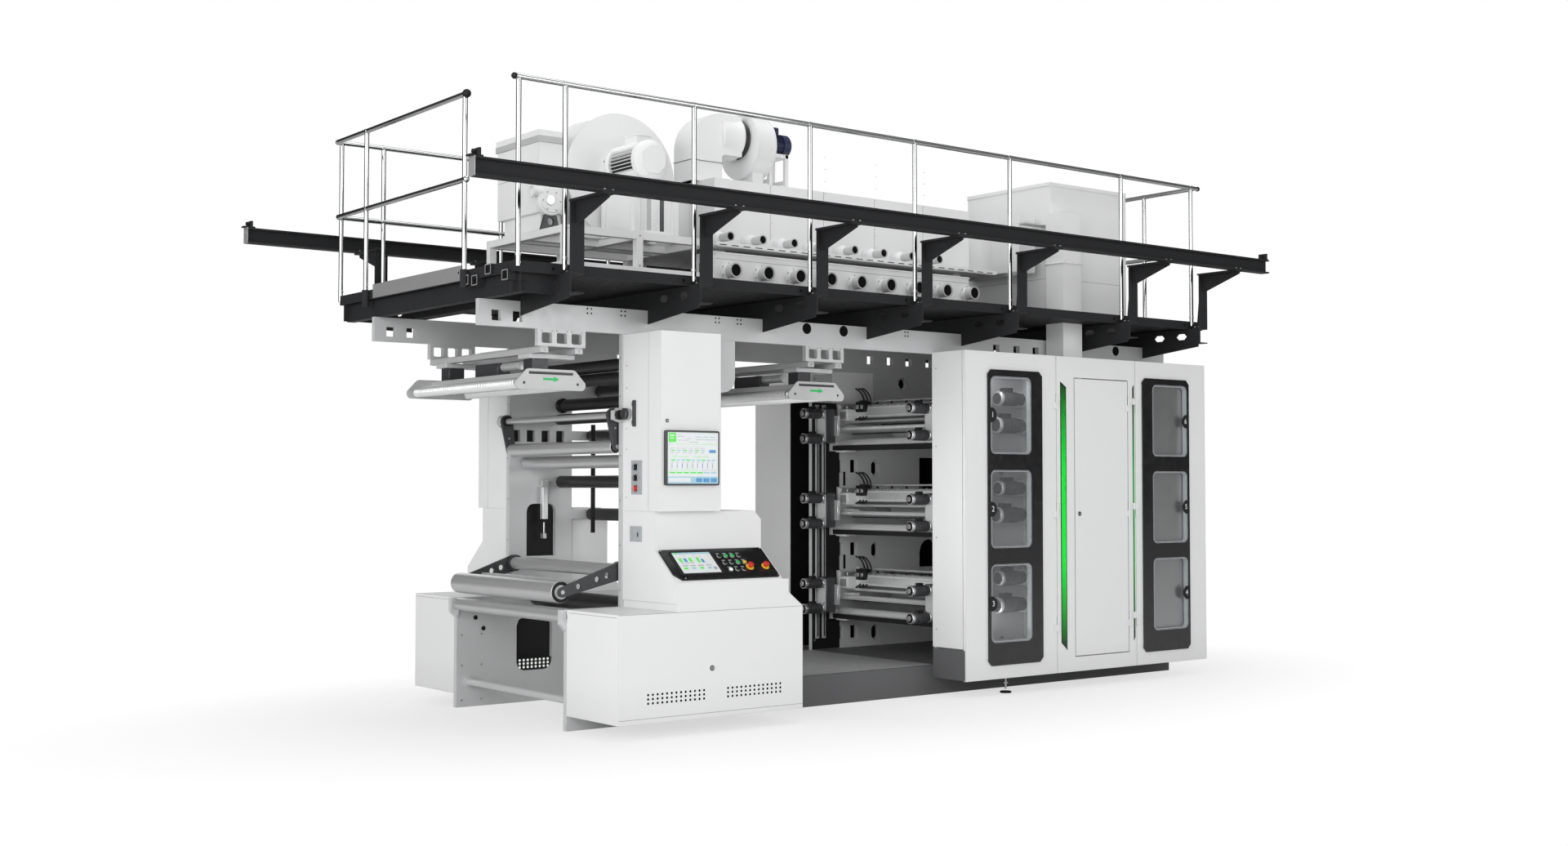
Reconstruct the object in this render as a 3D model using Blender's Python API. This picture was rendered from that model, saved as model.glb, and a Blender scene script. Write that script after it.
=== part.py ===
"""Flexographic printing press: unwind and rewind unit, six-colour print unit, roof walkway and dryer plant.

Metres, +Z up. The press is laid out from the front edge of its unwind frame: x runs along
the machine, y across it from the middle, z up from the floor. NEAR is the operator side (-y).
"""
import math

import bmesh
import bpy
from mathutils import Matrix, Vector

# Clearances
SEAT = 0.0003            # between pieces that touch
FLAT_ANGLE = 0.05        # faces closer to one plane than this, in degrees, are joined
BORE_PLAY = 0.0003       # round a journal in its bore
RUN_GAP = 0.006          # beside a moving piece
BITE = 0.004             # how deep welded pieces run into each other
PROUD = 0.010            # how far a cutting solid runs past what it cuts
STEP = 0.001             # keeps two flush faces of welded pieces apart
END_PLAY = 0.003         # a journal ends this far inside the plate's outer face

# Side frames of the unwind and rewind unit
NEAR = -1
FAR = 1
SPAN = 1.573             # outside to outside of the side plates
PLATE = 0.040
FRAME_LENGTH = 1.470
FRAME_LOW = 0.790        # height of the low part
COLUMN_FRONT = 0.420
COLUMN_REAR = 0.956
LOBE_REAR = 1.360
LOBE_LOW = 2.250
LOBE_CORNER = 0.100
HALF = SPAN / 2
INNER = HALF - PLATE
LUG = 0.045              # how far a bearing lug stands out of the frame's front edge
LUG_HEIGHT = 0.100
LUG_BEVEL = 0.020
EAR = 0.200              # reach of a roller ear behind the column
EAR_HEIGHT = 0.070
ACCESS_X, ACCESS_Z = 0.640, 0.428
ACCESS_WIDTH, ACCESS_HEIGHT, ACCESS_CORNER = 0.300, 0.394, 0.060
ARCH_X, ARCH_LOW, ARCH_HIGH, ARCH_HALF, ARCH_CORNER = 0.6925, 1.075, 1.4635, 0.1235, 0.055
CABLE_HOLE_X, CABLE_HOLE_Z, CABLE_HOLE_PITCH, CABLE_HOLES = 0.476, 1.968, 0.126, 4
CABLE_HOLE_WIDTH, CABLE_HOLE_HEIGHT = 0.070, 0.086

# Overhead beams
BEAM_LOW = 2.615
BEAM_HIGH = 2.785
BEAM_FRONT = -0.656
BEAM_REAR = 6.000
TAB_DROP = 0.110
TAB_LOW = BEAM_LOW - TAB_DROP
TAB_FRONTS = (-0.227, 2.000)
TAB_LENGTH = 0.360
TAB_HOLE_PITCH, TAB_HOLE_WIDTH, TAB_HOLE_HEIGHT, TAB_HOLE_CORNER = 0.112, 0.078, 0.068, 0.008
BEAM_HOLE_Z, BEAM_HOLE = 2.686, 0.070
BEAM_HOLES = (-0.530, -0.376, 3.950, 4.180, 4.400, 4.640)
BOLT_HOLE_Z, BOLT_HOLE_RADIUS = 2.741, 0.016
BOLT_HOLES = (2.017, 2.367, 3.590, 5.375)

# Web guides under the beams
GUIDE_RAIL_WIDTH, GUIDE_RAIL_HEIGHT, GUIDE_RAIL_INSET = 0.060, 0.050, 0.050
GUIDE_FOOT_LENGTH, GUIDE_FOOT_SHEET, GUIDE_FOOT_INSET = 0.160, 0.022, 0.080
GUIDE_OFFSET = 0.080     # the guide's frame stands this far in front of its tab's middle
GUIDE_NECK = 0.120
GUIDE_BEAM_LOW, GUIDE_BEAM_HIGH, GUIDE_BEAM_WIDTH = 2.300, 2.345, 0.140
GUIDE_PLATE_LOW, GUIDE_PLATE_HIGH = 2.220, 2.355
GUIDE_PLATE_HALF, GUIDE_PLATE_SHEET = 0.262, 0.012
GUIDE_PLATE_FOOT_CUT, GUIDE_PLATE_TOP_CUT = 0.030, 0.085
GUIDE_ROLLER_Z, GUIDE_ROLLER_INSET, GUIDE_ROLLER_RADIUS, GUIDE_ROLLER_PIN = 2.262, 0.062, 0.036, 0.012

# Rollers of the unwind unit: x, z, radius
JOURNAL = 0.020
FLANGE_GAP = 0.012       # roller face to side plate
EAR_ROLLER_X = COLUMN_REAR + 0.164
IDLERS = {
    "upper_idler_roller": (0.860, 2.200, 0.044),
    "grooved_idler_roller": (0.838, 2.095, 0.040),
    "silver_idler_roller": (0.560, 1.765, 0.045),
    "middle_idler_roller": (0.855, 1.627, 0.045),
    "draw_roller": (0.656, 0.772, 0.0635),
    "front_idler_roller": (0.010, 0.745, 0.045),
    "lobe_roller": (1.200, 2.318, 0.048),
    "high_rear_roller": (EAR_ROLLER_X, 1.977, 0.044),
    "low_rear_roller": (EAR_ROLLER_X, 1.382, 0.046),
}
BRIGHT_ROLLERS = ("silver_idler_roller", "front_idler_roller")
DANCER_PIVOT = (0.450, 1.030)
DANCER_REACH = (-0.450, -0.130)
DANCER_ROLLER_RADIUS = 0.0725
DANCER_TUBE_RADIUS = 0.045
DANCER_ROOT, DANCER_TIP = 0.060, 0.034
DANCER_ROD, DANCER_ROD_SHARE = 0.013, 0.57
DANCER_HOLE, DANCER_HOLE_SHARES = 0.014, (0.24, 0.41, 0.73)
SWING_PIVOT = (0.385, 2.070)
SWING_REACH = (0.035, -0.210)
SWING_TIP = 0.034
SWING_ROLLER_RADIUS = 0.044
SWING_SHAFT_RADIUS = 0.0215
ARM_PLATE = 0.020        # thickness of a dancer or swing arm
PIN = 0.015              # journal of a roller carried by an arm
TIE_X, TIE_Z, TIE_RADIUS, TIE_FLANGE, TIE_FLANGE_SHEET = 0.100, 0.180, 0.025, 0.045, 0.012

# Operator console and covers on the unwind unit
CABINET_DEPTH = 0.622
CABINET_LOW = 0.100
CONSOLE_FRONT = 0.430
CONSOLE_REAR = 1.300
CONSOLE_DEPTH = 0.380
CONSOLE_HIGH = 1.430
CONSOLE_CORNER = 0.060
DESK_HIGH = 1.180
DESK_LOW = 0.980
DESK_FOOT = 0.840        # where the desk runs down into the cabinet
SHOULDER_SET, SHOULDER_RISE = 0.120, 0.095
COVER_REAR = 0.910
COVER_HIGH = 2.610
COVER_DEPTH = 0.300
COVER_DOOR_DEPTH = 0.450
COVER_SEAM = 0.006
PANEL_SHEET = 0.008
PANEL_MARGIN = 0.015
PANEL_EDGE = 0.010
PANEL_CUT_X, PANEL_CUT_S = 0.040, 0.050
PANEL_SCREEN_X, PANEL_SCREEN_UP = 0.235, 0.010
PANEL_SCREEN_WIDTH, PANEL_SCREEN_HEIGHT, PANEL_SCREEN_CORNER = 0.345, 0.225, 0.012
BUTTON = 0.011
BUTTON_X = 0.490
BUTTON_PITCH_X = 0.062
BUTTON_PITCH_S = 0.075
BUTTON_ROWS = (4, 4, 3)
STOP_PLACES = (0.735, 0.800)
STOP_NECK, STOP_HEAD, STOP_RISE, STOP_HIGH = 0.013, 0.020, 0.018, 0.034
SCREEN_FRONT = 0.453
SCREEN_REAR = 0.880
SCREEN_LOW = 1.600
SCREEN_HIGH = 1.960
SCREEN_DEPTH = 0.024
SCREEN_BEZEL, SCREEN_CORNER = 0.040, 0.012

# Walkway
ARM_FIRST = -0.307
ARM_PITCH = 0.980
ARM_COUNT = 5
ARM_REST = (4.886, 5.768)
ARM_REACH = 0.617        # beyond the side plates
ARM_WIDTH = 0.100
ARM_SHEET = 0.008
ARM_HIGH = 2.910
GUSSET_DROP = 0.093
GUSSET_TIP = 0.028
GUSSET_SHORT = 0.019
SLOT_LENGTH = 0.110
SLOT_HEIGHT = 0.050
SLOT_PLACES = (0.190, 0.425)
RAIL_TUBE = 0.021
POST_TUBE = RAIL_TUBE - STEP
POST_FLAT = POST_TUBE * math.cos(math.pi / 6)
RAIL_INSET = 0.102       # from the arms' ends to the rail
RAIL_REACH = ARM_REACH - RAIL_INSET
DECK_REACH = RAIL_REACH - POST_FLAT - SEAT
FRONT_RAIL_X = -0.700
DECK_FRONT = FRONT_RAIL_X + RAIL_TUBE + SEAT
DECK_REAR = 5.900
DECK_HIGH = 2.975
DECK_EDGE = 0.010
CROSS_FRONT = -0.600
CROSS_WIDTH = 0.060
CROSS_INSET = 0.017
CROSS_REACH = DECK_REACH - CROSS_INSET
SIDE_CHANNEL_INSET = 0.050
TOE_HIGH = 3.010
TOE_NEAR, TOE_FAR = 0.640, 0.729
RAIL_HIGH = 4.100
RAIL_MIDDLE = 3.550
RAIL_POST_BACK = 0.030   # a post stands this far in front of its arm's middle
RAIL_POST_FOOT = 2.935
RAIL_FIRST = -0.666
RAIL_OVERRUN = 0.030
FRONT_POST_NEAR, FRONT_POST_FAR = 0.672, 0.800
SLEEVE_RADIUS, SLEEVE_HEIGHT = 0.0275, 0.115
REAR_RAIL_X = DECK_REAR - 0.100
REAR_POST_INSET = 0.0365

# Crane rails on posts
CRANE_FRONT = -1.210
CRANE_REAR = 6.160
CRANE_OVERHANG = 0.333   # beyond the arms' ends
CRANE_OUT = ARM_REACH + CRANE_OVERHANG
CRANE_LOW = 3.365
CRANE_DEPTH = 0.112
CRANE_FLANGE = 0.078
CRANE_FLANGE_SHEET = 0.012
CRANE_WEB = 0.010
POST_SHEET = 0.010
POST_TOP_DEPTH = 0.024
POST_FOOT_DEPTH = 0.068
HAUNCH_DROP, HAUNCH_TIP, HAUNCH_ROOT = 0.150, 0.030, 0.020
HAUNCH_SHEET, HAUNCH_WIDTH = 0.012, 0.090
STOP_HEIGHT, STOP_SHEET, STOP_INSET = 0.050, 0.016, 0.030

# Print unit
PLATFORM_GAP = 0.030     # behind the unwind unit
PLATFORM_FRONT = FRAME_LENGTH + PLATFORM_GAP
PLATFORM_HIGH = 0.220
PRINT_FRONT = 3.300
PRINT_REAR = 6.040
PRINT_MIDDLE = 4.640
TOP_HOLE_OUT, TOP_HOLE_Z, TOP_HOLE_RADIUS = 0.314, 2.492, 0.050
LEVEL_SLOT_OUT, LEVEL_SLOT_HEIGHT, LEVEL_SLOT_WIDTH = 0.640, 0.150, 0.080
LEVEL_WINDOWS = ((1.030, 0.060), (0.880, 0.075))
LEVEL_WINDOW_HEIGHT, LEVEL_WINDOW_DROP, LEVEL_SLOT_DROP = 0.110, 0.330, 0.345
DOORWAY_LOW, DOORWAY_SPRING, DOORWAY_RADIUS = 0.880, 1.010, 0.115
HATCH_Z, HATCH_WIDTH, HATCH_HEIGHT = 1.695, 0.230, 0.300
GUIDE_WIDTH = 0.036
GUIDE_SHEET = 0.011
GUIDE_OUTS = (1.306, 1.235)
GUIDE_LOW = 0.314
GUIDE_HIGH = 2.280
LEVEL_LOW = 0.680
LEVEL_PITCH = 0.7075
LEVELS = 3

# One print deck: places are how far out from the print unit's middle, and above the deck's level
CARRIER_SHEET = 0.022
CARRIER = ((1.210, -0.050), (1.160, -0.050), (1.160, -0.205), (0.900, -0.205), (0.880, -0.060),
           (0.300, -0.060), (0.300, 0.060), (0.540, 0.175), (1.080, 0.200), (1.080, 0.030),
           (1.210, 0.030))
CHAMBER_OUT, CHAMBER_WIDTH, CHAMBER_LOW, CHAMBER_HIGH = 0.960, 0.100, 0.075, 0.185
CHAMBER_ROD_OUT, CHAMBER_ROD_UP, CHAMBER_ROD = 0.985, 0.042, 0.012
WEB_ROLL_OUT, WEB_ROLL_DROP, WEB_ROLL = 1.080, 0.145, 0.039
INK_ROLL_OUT, INK_ROLL_UP, INK_ROLL = 0.760, 0.100, 0.070
PLATE_ROLL_OUT, PLATE_ROLL_UP, PLATE_ROLL = 0.600, 0.100, 0.080
PRESS_ROLL_OUT, PRESS_ROLL_UP, PRESS_ROLL = 0.420, 0.020, 0.110
TRAY = ((1.140, -0.030), (0.900, -0.055), (0.740, -0.036), (0.740, -0.028), (0.900, -0.043),
        (1.140, -0.005))
SPLASH_OUT, SPLASH_WIDTH, SPLASH_LOW, SPLASH_SHEET = 1.140, 0.220, 0.198, 0.012
SLIDE_OUT, SLIDE_WIDTH, SLIDE_LOW, SLIDE_HIGH = 1.070, 0.150, 0.050, 0.190
GEAR_BOX_OUT, GEAR_BOX_WIDTH, GEAR_BOX_LOW, GEAR_BOX_HIGH = 1.300, 0.100, 0.140, 0.150
END_BOX_DEPTH = 0.1352   # gear boxes and slides reach this far in from the carrier plate
SERVO_OUT, SERVO_LENGTH, SERVO_RADIUS, SERVO_INSET, SERVO_UP = 1.510, 0.215, 0.043, 0.0802, 0.105

# Print unit's housing
CABINET_FRONT = 3.250
CABINET_REAR = 6.090
CABINET_FOOT = 0.365
CABINET_TOP = 2.625
SHEET = 0.020            # cabinet walls
DOOR_FACE = 0.366        # front plane of the doors, beyond the side plate
DOOR_SHEET = 0.030
DOOR_LOW = 0.125
DOOR_SEAM = 0.005
DOOR_LEFT = 4.245        # seam between the left window door and the centre panel
DOOR_RIGHT = 5.190
SERVICE_LEFT = 4.450
SERVICE_RIGHT = 5.100
SERVICE_LOW = 0.240
SERVICE_HIGH = 2.460
LOCK_INSET, LOCK_Z, LOCK_RADIUS = 0.050, 1.375, 0.016
WINDOWS = 3
WINDOW_WIDTH = 0.437
WINDOW_HEIGHT = 0.590
WINDOW_LOW = 0.404
WINDOW_PITCH = 0.720
WINDOW_INSET = 0.258     # from the door's free edge
BEZEL_SHEET = 0.010
BEZEL_LOW = 0.230
BEZEL_HIGH = 2.486
BEZEL_INSET = 0.228
BEZEL_WIDTH = 0.593
BEZEL_CORNER = 0.060
GLASS = 0.006
GLASS_MARGIN = 0.012
BARREL = 0.008           # hinge barrel radius
BARREL_OUT = 0.010       # hinge axis in front of the door face
BARREL_LENGTH = 0.060
LEAF_START, LEAF_END, LEAF_SHEET, LEAF_SHORT = 0.004, 0.040, 0.006, 0.004
HINGE_HEIGHTS = (0.450, 1.340, 2.200)
FAR_CABINET_INNER = 0.257
FAR_CABINET_OUTER = 0.747
FAR_CABINET_INSET = 0.050

# Plant on the roof, y given from the machine's middle
LEG = 0.080
BLOWER_X = 0.600
BLOWER_Z = 3.735
BLOWER_RADIUS = 0.430
BLOWER_FRONT = -0.4865
BLOWER_WIDTH = 0.300
BLOWER_TABLE = 3.290
BLOWER_RIM, BLOWER_RIM_SHEET = 0.010, 0.012
BLOWER_FOOT_HALF, BLOWER_FOOT_RISE = 0.300, 0.250
OUTLET_START, OUTLET_LOW, OUTLET_HIGH, OUTLET_INSET = 0.100, 0.380, 0.060, 0.030
OUTLET_FLANGE, OUTLET_RIM = 0.050, 0.020
TABLE_FRONT = -0.120
TABLE_REAR = 1.050
TABLE_NEAR = -0.930
TABLE_FAR = 0.110
TABLE_TUBE = 0.050
TABLE_STRETCHER = 0.030
PEDESTAL_HALF, PEDESTAL_PANEL = 0.180, 0.014
MOTOR_Z = 3.800
MOTOR_RADIUS = 0.150
MOTOR_SHARES = (0.86, 0.93, 0.97, 0.75)    # radii of the core, cowl, end bell and end faces
MOTOR_LENGTH = 0.400
COWL, COWL_BEVEL, BELL, BELL_BEVEL = 0.070, 0.030, 0.060, 0.012
FINS, FIN_SHEET = 10, 0.006
MOTOR_FOOT_HALF, TERMINAL_HALF, TERMINAL_INSET = 0.110, 0.060, 0.130
INLET_FRONT, INLET_REAR, INLET_DEPTH, INLET_LOW, INLET_HIGH = -0.050, 0.145, 0.570, 3.430, 3.950
INLET_LID, INLET_LID_OUT = 0.035, 0.010
INLET_CHUTE = 0.035
TUNNEL_FRONT = 1.250
TUNNEL_REAR = 3.750
TUNNEL_NEAR = -0.6865
TUNNEL_FAR = 0.500
TUNNEL_LOW = 3.290
TUNNEL_HIGH = 3.780
TUNNEL_LEG_INSET = 0.050
SHELF_SHEET = 0.025
SHELF_WIDTH = 0.190
SHELF_FRONT, SHELF_REAR = 1.130, 3.870
NOZZLES = 8
NOZZLE_FIRST = 1.250
NOZZLE_PITCH = 0.285
NOZZLE_UP, NOZZLE_Y, NOZZLE_PIPE, NOZZLE_CUP = 0.038, 0.060, 0.020, 0.037
NOZZLE_REACH, NOZZLE_NECK = 0.130, 0.030
LINK_NEAR, LINK_FAR, LINK_INSET = 0.300, 0.400, 0.080
FAN_Y, FAN_Z, FAN_RADIUS, FAN_FRONT, FAN_WIDTH = -0.380, 4.095, 0.232, 1.700, 0.164
FAN_FOOT_HALF, FAN_FOOT_WIDTH = 0.120, 0.100
INTAKE_Z, INTAKE_RADIUS, INTAKE_RIM, INTAKE_RIM_SHEET, INTAKE_NECK = 4.145, 0.147, 0.012, 0.012, 0.125
ELBOW_FRONT, ELBOW_REAR, ELBOW_END = 1.190, 1.460, 1.640
ELBOW_HALF, ELBOW_SPRING, ELBOW_THROAT = 0.110, 3.960, 0.030
FAN_MOTOR_RADIUS, FAN_MOTOR_END, FAN_MOTOR_BEVEL = 0.087, 2.140, 0.015
STAND_FRONT, STAND_REAR, STAND_HALF, STAND_TUBE = 1.905, 2.085, 0.095, 0.030
MANIFOLD_FRONT = 1.060
MANIFOLD_REAR = 3.480
MANIFOLD_NEAR = -0.960
MANIFOLD_FAR = -0.720
MANIFOLD_LOW = 2.990
MANIFOLD_HIGH = 3.205
MANIFOLD_LEG, MANIFOLD_LEG_INSET, MANIFOLD_LEG_START, MANIFOLD_LEG_END = 0.100, 0.050, 0.200, 0.300
STUBS = 9
STUB_RADIUS, STUB_REACH, STUB_START, STUB_DROP = 0.045, 0.090, 0.110, 0.020
EXHAUST_FRONT = 4.570
EXHAUST_REAR = 5.510
EXHAUST_NEAR = -HALF
EXHAUST_FAR = 0.165
EXHAUST_LOW = 3.020
EXHAUST_HIGH = 4.095
EXHAUST_LEG_INSET = 0.030
DUCT_FRONT = 4.511
DUCT_REAR = 4.736
DUCT_GAP = 0.0135        # from the near beam to the duct
DUCT_DEPTH = 0.1865
DUCT_FAR = -(HALF + DUCT_GAP)
DUCT_NEAR = DUCT_FAR - DUCT_DEPTH
DUCT_HIGH = 3.820
DUCT_MARGIN = 0.012
DUCT_LINK_LOW, DUCT_LINK_HIGH, DUCT_LINK_INSET, DUCT_LINK_BITE = 0.200, 0.020, 0.010, 0.050

PRESS_CENTRE_X = (CRANE_FRONT + CRANE_REAR) / 2


# Scene

def clear_scene():
    for item in list(bpy.data.objects):
        bpy.data.objects.remove(item, do_unlink=True)


def press_root():
    root = bpy.data.objects.new("press_origin", None)
    root.location = (-PRESS_CENTRE_X, 0.0, 0.0)
    bpy.context.scene.collection.objects.link(root)
    return root


MATERIALS = {
    "panel_white": ((0.78, 0.79, 0.80), 0.45, 0.0),
    "frame_grey": ((0.55, 0.57, 0.60), 0.50, 0.0),
    "charcoal": ((0.08, 0.08, 0.09), 0.55, 0.0),
    "black": ((0.015, 0.015, 0.017), 0.35, 0.0),
    "chrome": ((0.80, 0.81, 0.82), 0.12, 1.0),
    "steel": ((0.62, 0.63, 0.65), 0.30, 1.0),
    "dark_rubber": ((0.04, 0.04, 0.045), 0.60, 0.0),
    "glass": ((0.03, 0.035, 0.04), 0.05, 0.0),
}


def material(name):
    found = bpy.data.materials.get(name)
    if found:
        return found
    colour, roughness, metallic = MATERIALS[name]
    made = bpy.data.materials.new(name)
    made.use_nodes = True
    shader = made.node_tree.nodes["Principled BSDF"]
    shader.inputs["Base Color"].default_value = (*colour, 1.0)
    shader.inputs["Roughness"].default_value = roughness
    shader.inputs["Metallic"].default_value = metallic
    return made


# Solids: each returns a closed bmesh

AXIS_FRAMES = {
    "X": lambda a, b, along: (along, a, b),
    "Y": lambda a, b, along: (a, along, b),
    "Z": lambda a, b, along: (a, b, along),
}


def circle(a, b, radius, segments=12):
    turn = 2 * math.pi / segments
    return [(a + radius * math.cos(i * turn), b + radius * math.sin(i * turn)) for i in range(segments)]


def bore(a, b, radius, segments=8):
    """A hole whose flats clear a journal of this radius in every position."""
    turn = 2 * math.pi / segments
    reach = (radius + BORE_PLAY) / math.cos(turn / 2)
    return [(a + reach * math.cos((i + 0.5) * turn), b + reach * math.sin((i + 0.5) * turn))
            for i in range(segments)]


def arc(a, b, radius, start, end, steps=4):
    angles = [math.radians(start + (end - start) * i / steps) for i in range(steps + 1)]
    return [(a + radius * math.cos(t), b + radius * math.sin(t)) for t in angles]


def rectangle(a, b, width, height):
    return [(a - width / 2, b - height / 2), (a + width / 2, b - height / 2),
            (a + width / 2, b + height / 2), (a - width / 2, b + height / 2)]


def rounded(a, b, width, height, radius, steps=2):
    left, right = a - width / 2 + radius, a + width / 2 - radius
    low, high = b - height / 2 + radius, b + height / 2 - radius
    return (arc(right, low, radius, -90, 0, steps) + arc(right, high, radius, 0, 90, steps)
            + arc(left, high, radius, 90, 180, steps) + arc(left, low, radius, 180, 270, steps))


def obround(a, b, length, height, steps=2):
    reach = (length - height) / 2
    return arc(a + reach, b, height / 2, -90, 90, steps) + arc(a - reach, b, height / 2, 90, 270, steps)


def prism(axis, outline, start, end, holes=()):
    """An outline, with holes, drawn square to an axis and extruded along it."""
    place = AXIS_FRAMES[axis]
    solid = bmesh.new()
    edges = []
    for loop in [outline, *holes]:
        verts = [solid.verts.new(place(a, b, start)) for a, b in loop]
        edges += [solid.edges.new((verts[i - 1], verts[i])) for i in range(len(verts))]
    if holes:
        bmesh.ops.triangle_fill(solid, use_beauty=True, use_dissolve=False, edges=edges)
    else:
        solid.faces.new(solid.verts)
    grown = bmesh.ops.extrude_face_region(solid, geom=solid.faces[:])
    moved = [item for item in grown["geom"] if isinstance(item, bmesh.types.BMVert)]
    bmesh.ops.translate(solid, verts=moved, vec=Vector(place(0.0, 0.0, end - start)))
    bmesh.ops.recalc_face_normals(solid, faces=solid.faces[:])
    return solid


def box(x0, x1, y0, y1, z0, z1):
    return prism("Z", [(x0, y0), (x1, y0), (x1, y1), (x0, y1)], z0, z1)


def rod(axis, a, b, radius, start, end, segments=12):
    return prism(axis, circle(a, b, radius, segments), start, end)


def turned(axis, a, b, profile, segments=12):
    """A solid of revolution about a line along an axis. The profile lists (along, radius)."""
    place = AXIS_FRAMES[axis]
    solid = bmesh.new()
    rings = []
    for along, radius in profile:
        rings.append([solid.verts.new(place(p, q, along)) for p, q in circle(a, b, radius, segments)])
    for low, high in zip(rings, rings[1:]):
        for i in range(segments):
            solid.faces.new((low[i - 1], low[i], high[i], high[i - 1]))
    solid.faces.new(rings[0])
    solid.faces.new(rings[-1])
    bmesh.ops.recalc_face_normals(solid, faces=solid.faces[:])
    return solid


def moved(solid, matrix):
    bmesh.ops.transform(solid, matrix=matrix, verts=solid.verts[:])
    return solid


# Objects

def loose_object(solid, name="piece"):
    mesh = bpy.data.meshes.new(name)
    solid.to_mesh(mesh)
    solid.free()
    return bpy.data.objects.new(name, mesh)


def merged_mesh(solids, cuts):
    """The union of the solids, less the cuts, as one mesh."""
    base = loose_object(solids[0])
    bpy.context.scene.collection.objects.link(base)
    groups = []
    for operation, pieces in (("UNION", solids[1:]), ("DIFFERENCE", cuts)):
        if not pieces:
            continue
        group = bpy.data.collections.new(operation)
        for piece in pieces:
            group.objects.link(loose_object(piece))
        step = base.modifiers.new(operation, "BOOLEAN")
        step.operation = operation
        step.operand_type = "COLLECTION"
        step.collection = group
        step.solver = "EXACT"
        groups.append(group)
        bpy.context.scene.collection.children.link(group)
    bpy.context.view_layer.update()
    shape = base.evaluated_get(bpy.context.evaluated_depsgraph_get())
    mesh = bpy.data.meshes.new_from_object(shape)
    tidy = bmesh.new()
    tidy.from_mesh(mesh)
    bmesh.ops.dissolve_limit(tidy, angle_limit=math.radians(FLAT_ANGLE), verts=tidy.verts[:],
                             edges=tidy.edges[:])
    tidy.to_mesh(mesh)
    tidy.free()
    for group in groups:
        for item in list(group.objects):
            bpy.data.objects.remove(item, do_unlink=True)
        bpy.data.collections.remove(group)
    bpy.data.objects.remove(base, do_unlink=True)
    return mesh


def make(name, finish, solids, cuts=(), pivot=(0.0, 0.0, 0.0)):
    """One named piece. A moving piece has its pivot on its joint's axis."""
    mesh = merged_mesh(solids, cuts)
    mesh.name = name
    mesh.transform(Matrix.Translation(-Vector(pivot)))
    mesh.materials.clear()
    mesh.materials.append(material(finish))
    mesh.shade_smooth()
    mesh.set_sharp_from_angle(angle=math.radians(30))
    piece = bpy.data.objects.new(name, mesh)
    piece.location = pivot
    piece.parent = bpy.data.objects["press_origin"]
    bpy.context.scene.collection.objects.link(piece)
    return piece


def outward(side, near, far):
    """The y range between two distances beyond a side plate's outer face."""
    return sorted((side * (HALF + near), side * (HALF + far)))


# Unwind and rewind unit

def swing_roller_place():
    return SWING_PIVOT[0] + SWING_REACH[0], SWING_PIVOT[1] + SWING_REACH[1]


def along_dancer(share):
    return DANCER_PIVOT[0] + DANCER_REACH[0] * share, DANCER_PIVOT[1] + DANCER_REACH[1] * share


def plate_range(side, inner=INNER):
    """The y range of a side plate, or of what stands in its plane."""
    return sorted((side * inner, side * HALF))


def lug(x, z):
    """Corner points of a bearing lug on the frame's front edge, from its top down."""
    half = LUG_HEIGHT / 2
    tip = x - LUG - LUG_BEVEL
    return [(x, z + half), (tip, z + half - LUG_BEVEL), (tip, z - half + LUG_BEVEL), (x, z - half)]


def ear(z):
    """Corner points of a roller ear behind the column, from its foot up."""
    half = EAR_HEIGHT / 2
    return [(COLUMN_REAR, z - half), (COLUMN_REAR + EAR - LUG_BEVEL, z - half), (COLUMN_REAR + EAR, z),
            (COLUMN_REAR + EAR - LUG_BEVEL, z + half), (COLUMN_REAR, z + half)]


def side_frame(name, side):
    top = BEAM_LOW - SEAT
    outline = [(0.0, 0.0), (FRAME_LENGTH, 0.0), (FRAME_LENGTH, FRAME_LOW), (COLUMN_REAR, FRAME_LOW)]
    outline += ear(IDLERS["low_rear_roller"][1]) + ear(IDLERS["high_rear_roller"][1])
    outline += [(COLUMN_REAR, LOBE_LOW)]
    outline += arc(LOBE_REAR - LOBE_CORNER, LOBE_LOW + LOBE_CORNER, LOBE_CORNER, -90, 0)
    outline += [(LOBE_REAR, top), (COLUMN_FRONT, top)]
    outline += lug(COLUMN_FRONT, SWING_PIVOT[1])
    outline += [(COLUMN_FRONT, FRAME_LOW), (0.0, FRAME_LOW)]
    front_z = IDLERS["front_idler_roller"][1]
    outline += [(-LUG, FRAME_LOW), (-LUG, front_z - LUG_HEIGHT / 2), (0.0, front_z - LUG_HEIGHT)]
    holes = [rounded(ACCESS_X, ACCESS_Z, ACCESS_WIDTH, ACCESS_HEIGHT, ACCESS_CORNER)]
    bend_x, bend_z = ARCH_HALF - ARCH_CORNER, ARCH_HIGH - ARCH_CORNER
    holes += [[(ARCH_X - ARCH_HALF, ARCH_LOW), (ARCH_X + ARCH_HALF, ARCH_LOW)]
              + arc(ARCH_X + bend_x, bend_z, ARCH_CORNER, 0, 90, 3)
              + arc(ARCH_X - bend_x, bend_z, ARCH_CORNER, 90, 180, 3)]
    holes += [rectangle(CABLE_HOLE_X + i * CABLE_HOLE_PITCH, CABLE_HOLE_Z, CABLE_HOLE_WIDTH,
                        CABLE_HOLE_HEIGHT)
              for i in range(CABLE_HOLES)]
    holes += [bore(x, z, JOURNAL) for x, z, radius in IDLERS.values()]
    holes += [bore(*DANCER_PIVOT, JOURNAL), bore(*SWING_PIVOT, SWING_SHAFT_RADIUS)]
    make(name, "frame_grey", [prism("Y", outline, *plate_range(side), holes)])


def roller_profile(half, radius, journal, reach):
    """Half lengths of the face and of the journals give a full roller profile along y."""
    return [(-reach, journal), (-half, journal), (-half, radius), (half, radius), (half, journal),
            (reach, journal)]


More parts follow.
